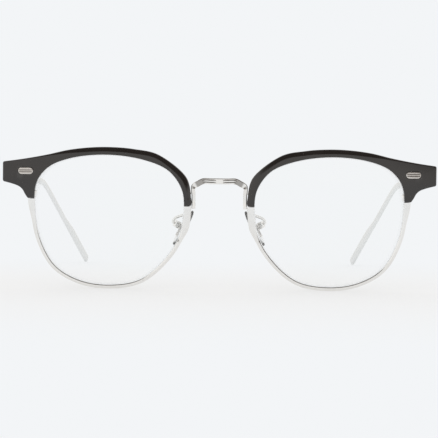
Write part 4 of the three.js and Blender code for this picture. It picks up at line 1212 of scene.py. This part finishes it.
def make_hinge_screw():
    seat = Vector((pivot_x, pivot_y, hinge_z + LUG_HEIGHT / 2 + SEAT_GAP))
    length = LUG_HEIGHT + SEAT_GAP
    return screw(seat, Vector((0, 0, 1)), length, SCREW_RADIUS, SCREW_HEAD_RADIUS, SCREW_HEAD_HEIGHT)


def make_pad_screw():
    seat = pad_point(0, -box_half - SEAT_GAP, PIVOT_BEHIND_PAD)
    length = box_half * 2 + SEAT_GAP
    return screw(seat, -pad_across, length, PAD_SCREW_RADIUS, PAD_SCREW_HEAD, SMALL_HEAD_HEIGHT)


both_sides("brow", "acetate_brow", make_brow, acetate, smooth=32)
both_sides("brow_plaque", "oval_plaque", make_plaque, plaque_silver)
both_sides("rim", "eyewire", make_rim, rim_silver)
both_sides("lens", "clear_lens", make_lens, lens_clear)
both_sides("temple", "temple_arm", make_temple, temple_silver, body="temple")
both_sides("nose_pad", "silicone_pad", make_nose_pad, silicone, body="nose_pad")
both_sides("nose_pad_arm", "pad_wire", make_pad_arm, rim_silver)
for node, name, build in (
    ("brow_leg_screw", "leg_screw", make_leg_screw),
    ("brow_nose_screw", "nose_screw", make_nose_screw),
    ("rim_lock_screw", "lock_screw", make_lock_screw),
    ("hinge_screw", "pivot_screw", make_hinge_screw),
    ("nose_pad_screw", "pad_screw", make_pad_screw),
):
    both_sides(node, name, build, screw_steel)
for node, name, ease, body in (
    ("endpiece", "bent_lug", 0.18, "front"),
    ("hinge_front", "fixed_knuckles", 0.1, "front"),
    ("hinge_rear", "moving_knuckle", 0.1, "temple"),
    ("nose_pad_box", "pad_box", 0.1, "front"),
):
    both_sides(node, name, lambda: refined(node, ease), rim_silver, body=body)
both_sides(
    "nose_pad_insert", "pad_core", lambda: refined("nose_pad_insert", 0.08), screw_steel,
    body="nose_pad",
)
bridge = make_bridge()
mark_edges(bridge)
finish_piece("engraved_bridge", bridge, bridge_silver, "front", "bridge")


# ---- stage: pale floor out to the horizon, soft light all round, dim overhead in front ----
RIMS_STAND_AT = -0.064


def make_floor():
    """Plain pale floor that glows as light as the air behind it, with a painted soft shadow, a little darker
    and warmer, in a band along where the rims stand.
    """
    bm = bmesh.new()
    bmesh.ops.create_grid(bm, x_segments=1, y_segments=1, size=30)
    mesh = new_mesh("pale_floor", bm)
    material, tree, shader, place = new_material(
        "pale matt floor", Base_Color=(0.2, 0.2, 0.2, 1), Roughness=1.0, Specular_IOR_Level=0.0,
        Emission_Strength=1.0,
    )
    along = add(tree, "ShaderNodeSeparateXYZ", Vector=place).outputs["Y"]
    # Painted soft shadow: the floor's glow turns a little darker and warmer within 0.16 m of the line where
    # the rims stand.
    off_rims = math_node(tree, "ABSOLUTE", math_node(tree, "SUBTRACT", along, RIMS_STAND_AT))
    near = ramp(tree, off_rims, 0.16, 0.0)
    glow_with_painted_shadow = blend_colour(tree, near, (0.669, 0.683, 0.696, 1), (0.668, 0.664, 0.658, 1))
    tree.links.new(glow_with_painted_shadow, shader.inputs["Emission Color"])
    mesh.materials.append(material)
    floor = new_object("pale_floor", mesh)


def dark_patch(tree, direction, centre, low, high):
    """Soft round patch of the sky round one direction."""
    middle = Vector(centre).normalized()
    facing = add(tree, "ShaderNodeVectorMath", {"operation": "DOT_PRODUCT"}, i0=direction, i1=middle)
    return ramp(tree, facing.outputs["Value"], low, high)


def make_world():
    """Even pale light, but a dim patch overhead in front that glossy pieces mirror."""
    world = bpy.data.worlds.new("studio")
    scene.world = world
    world.use_nodes = True
    world.cycles.sampling_method = "NONE"
    tree = world.node_tree
    even = tree.nodes["Background"]
    even.inputs["Color"].default_value = (0.972, 0.984, 1.0, 1)
    even.inputs["Strength"].default_value = 1.168
    direction = tree.nodes.new("ShaderNodeTexCoord").outputs["Generated"]
    overhead = dark_patch(tree, direction, (0.02, -0.47, 0.88), 0.66, 0.8)
    beside = dark_patch(tree, direction, (0.63, -0.53, 0.57), 0.8, 0.9)
    dim = math_node(tree, "MAXIMUM", overhead, beside)
    around = blend_colour(tree, dim, (0.98, 0.965, 0.945, 1), (0.06, 0.048, 0.042, 1))
    mirrored = add(tree, "ShaderNodeBackground", Color=around, Strength=1.0)
    pale = add(tree, "ShaderNodeBackground", Color=(0.896, 0.913, 0.93, 1), Strength=1.0)
    path = tree.nodes.new("ShaderNodeLightPath")
    gloss = mix_shaders(tree, path.outputs["Is Glossy Ray"], even.outputs[0], mirrored.outputs[0])
    straight = math_node(tree, "MAXIMUM", path.outputs["Is Camera Ray"], path.outputs["Is Transmission Ray"])
    seen = mix_shaders(tree, straight, gloss, pale.outputs[0])
    tree.links.new(seen, tree.nodes["World Output"].inputs["Surface"])


CAMERA_AT = (0.0008, -0.5208, 0.03994)
CAMERA_TURN = (0.103, -2.06, 0.68)
CAMERA_LENS = 114.2


def make_camera():
    """Camera a little above the lenses' middle, set by its yaw, pitch and roll in degrees."""
    data = bpy.data.cameras.new("camera")
    data.sensor_width = 36
    data.lens = CAMERA_LENS
    data.clip_start = 0.01
    camera = new_object("camera", data)
    camera.location = CAMERA_AT
    yaw, pitch, roll = (math.radians(a) for a in CAMERA_TURN)
    aim = Matrix.Rotation(yaw, 4, "Z") @ Matrix.Rotation(math.radians(90) + pitch, 4, "X")
    camera.matrix_world = Matrix.Translation(camera.location) @ aim @ Matrix.Rotation(roll, 4, "Z")
    scene.camera = camera


make_floor()
make_world()
make_camera()
scene.view_settings.view_transform = "Standard"
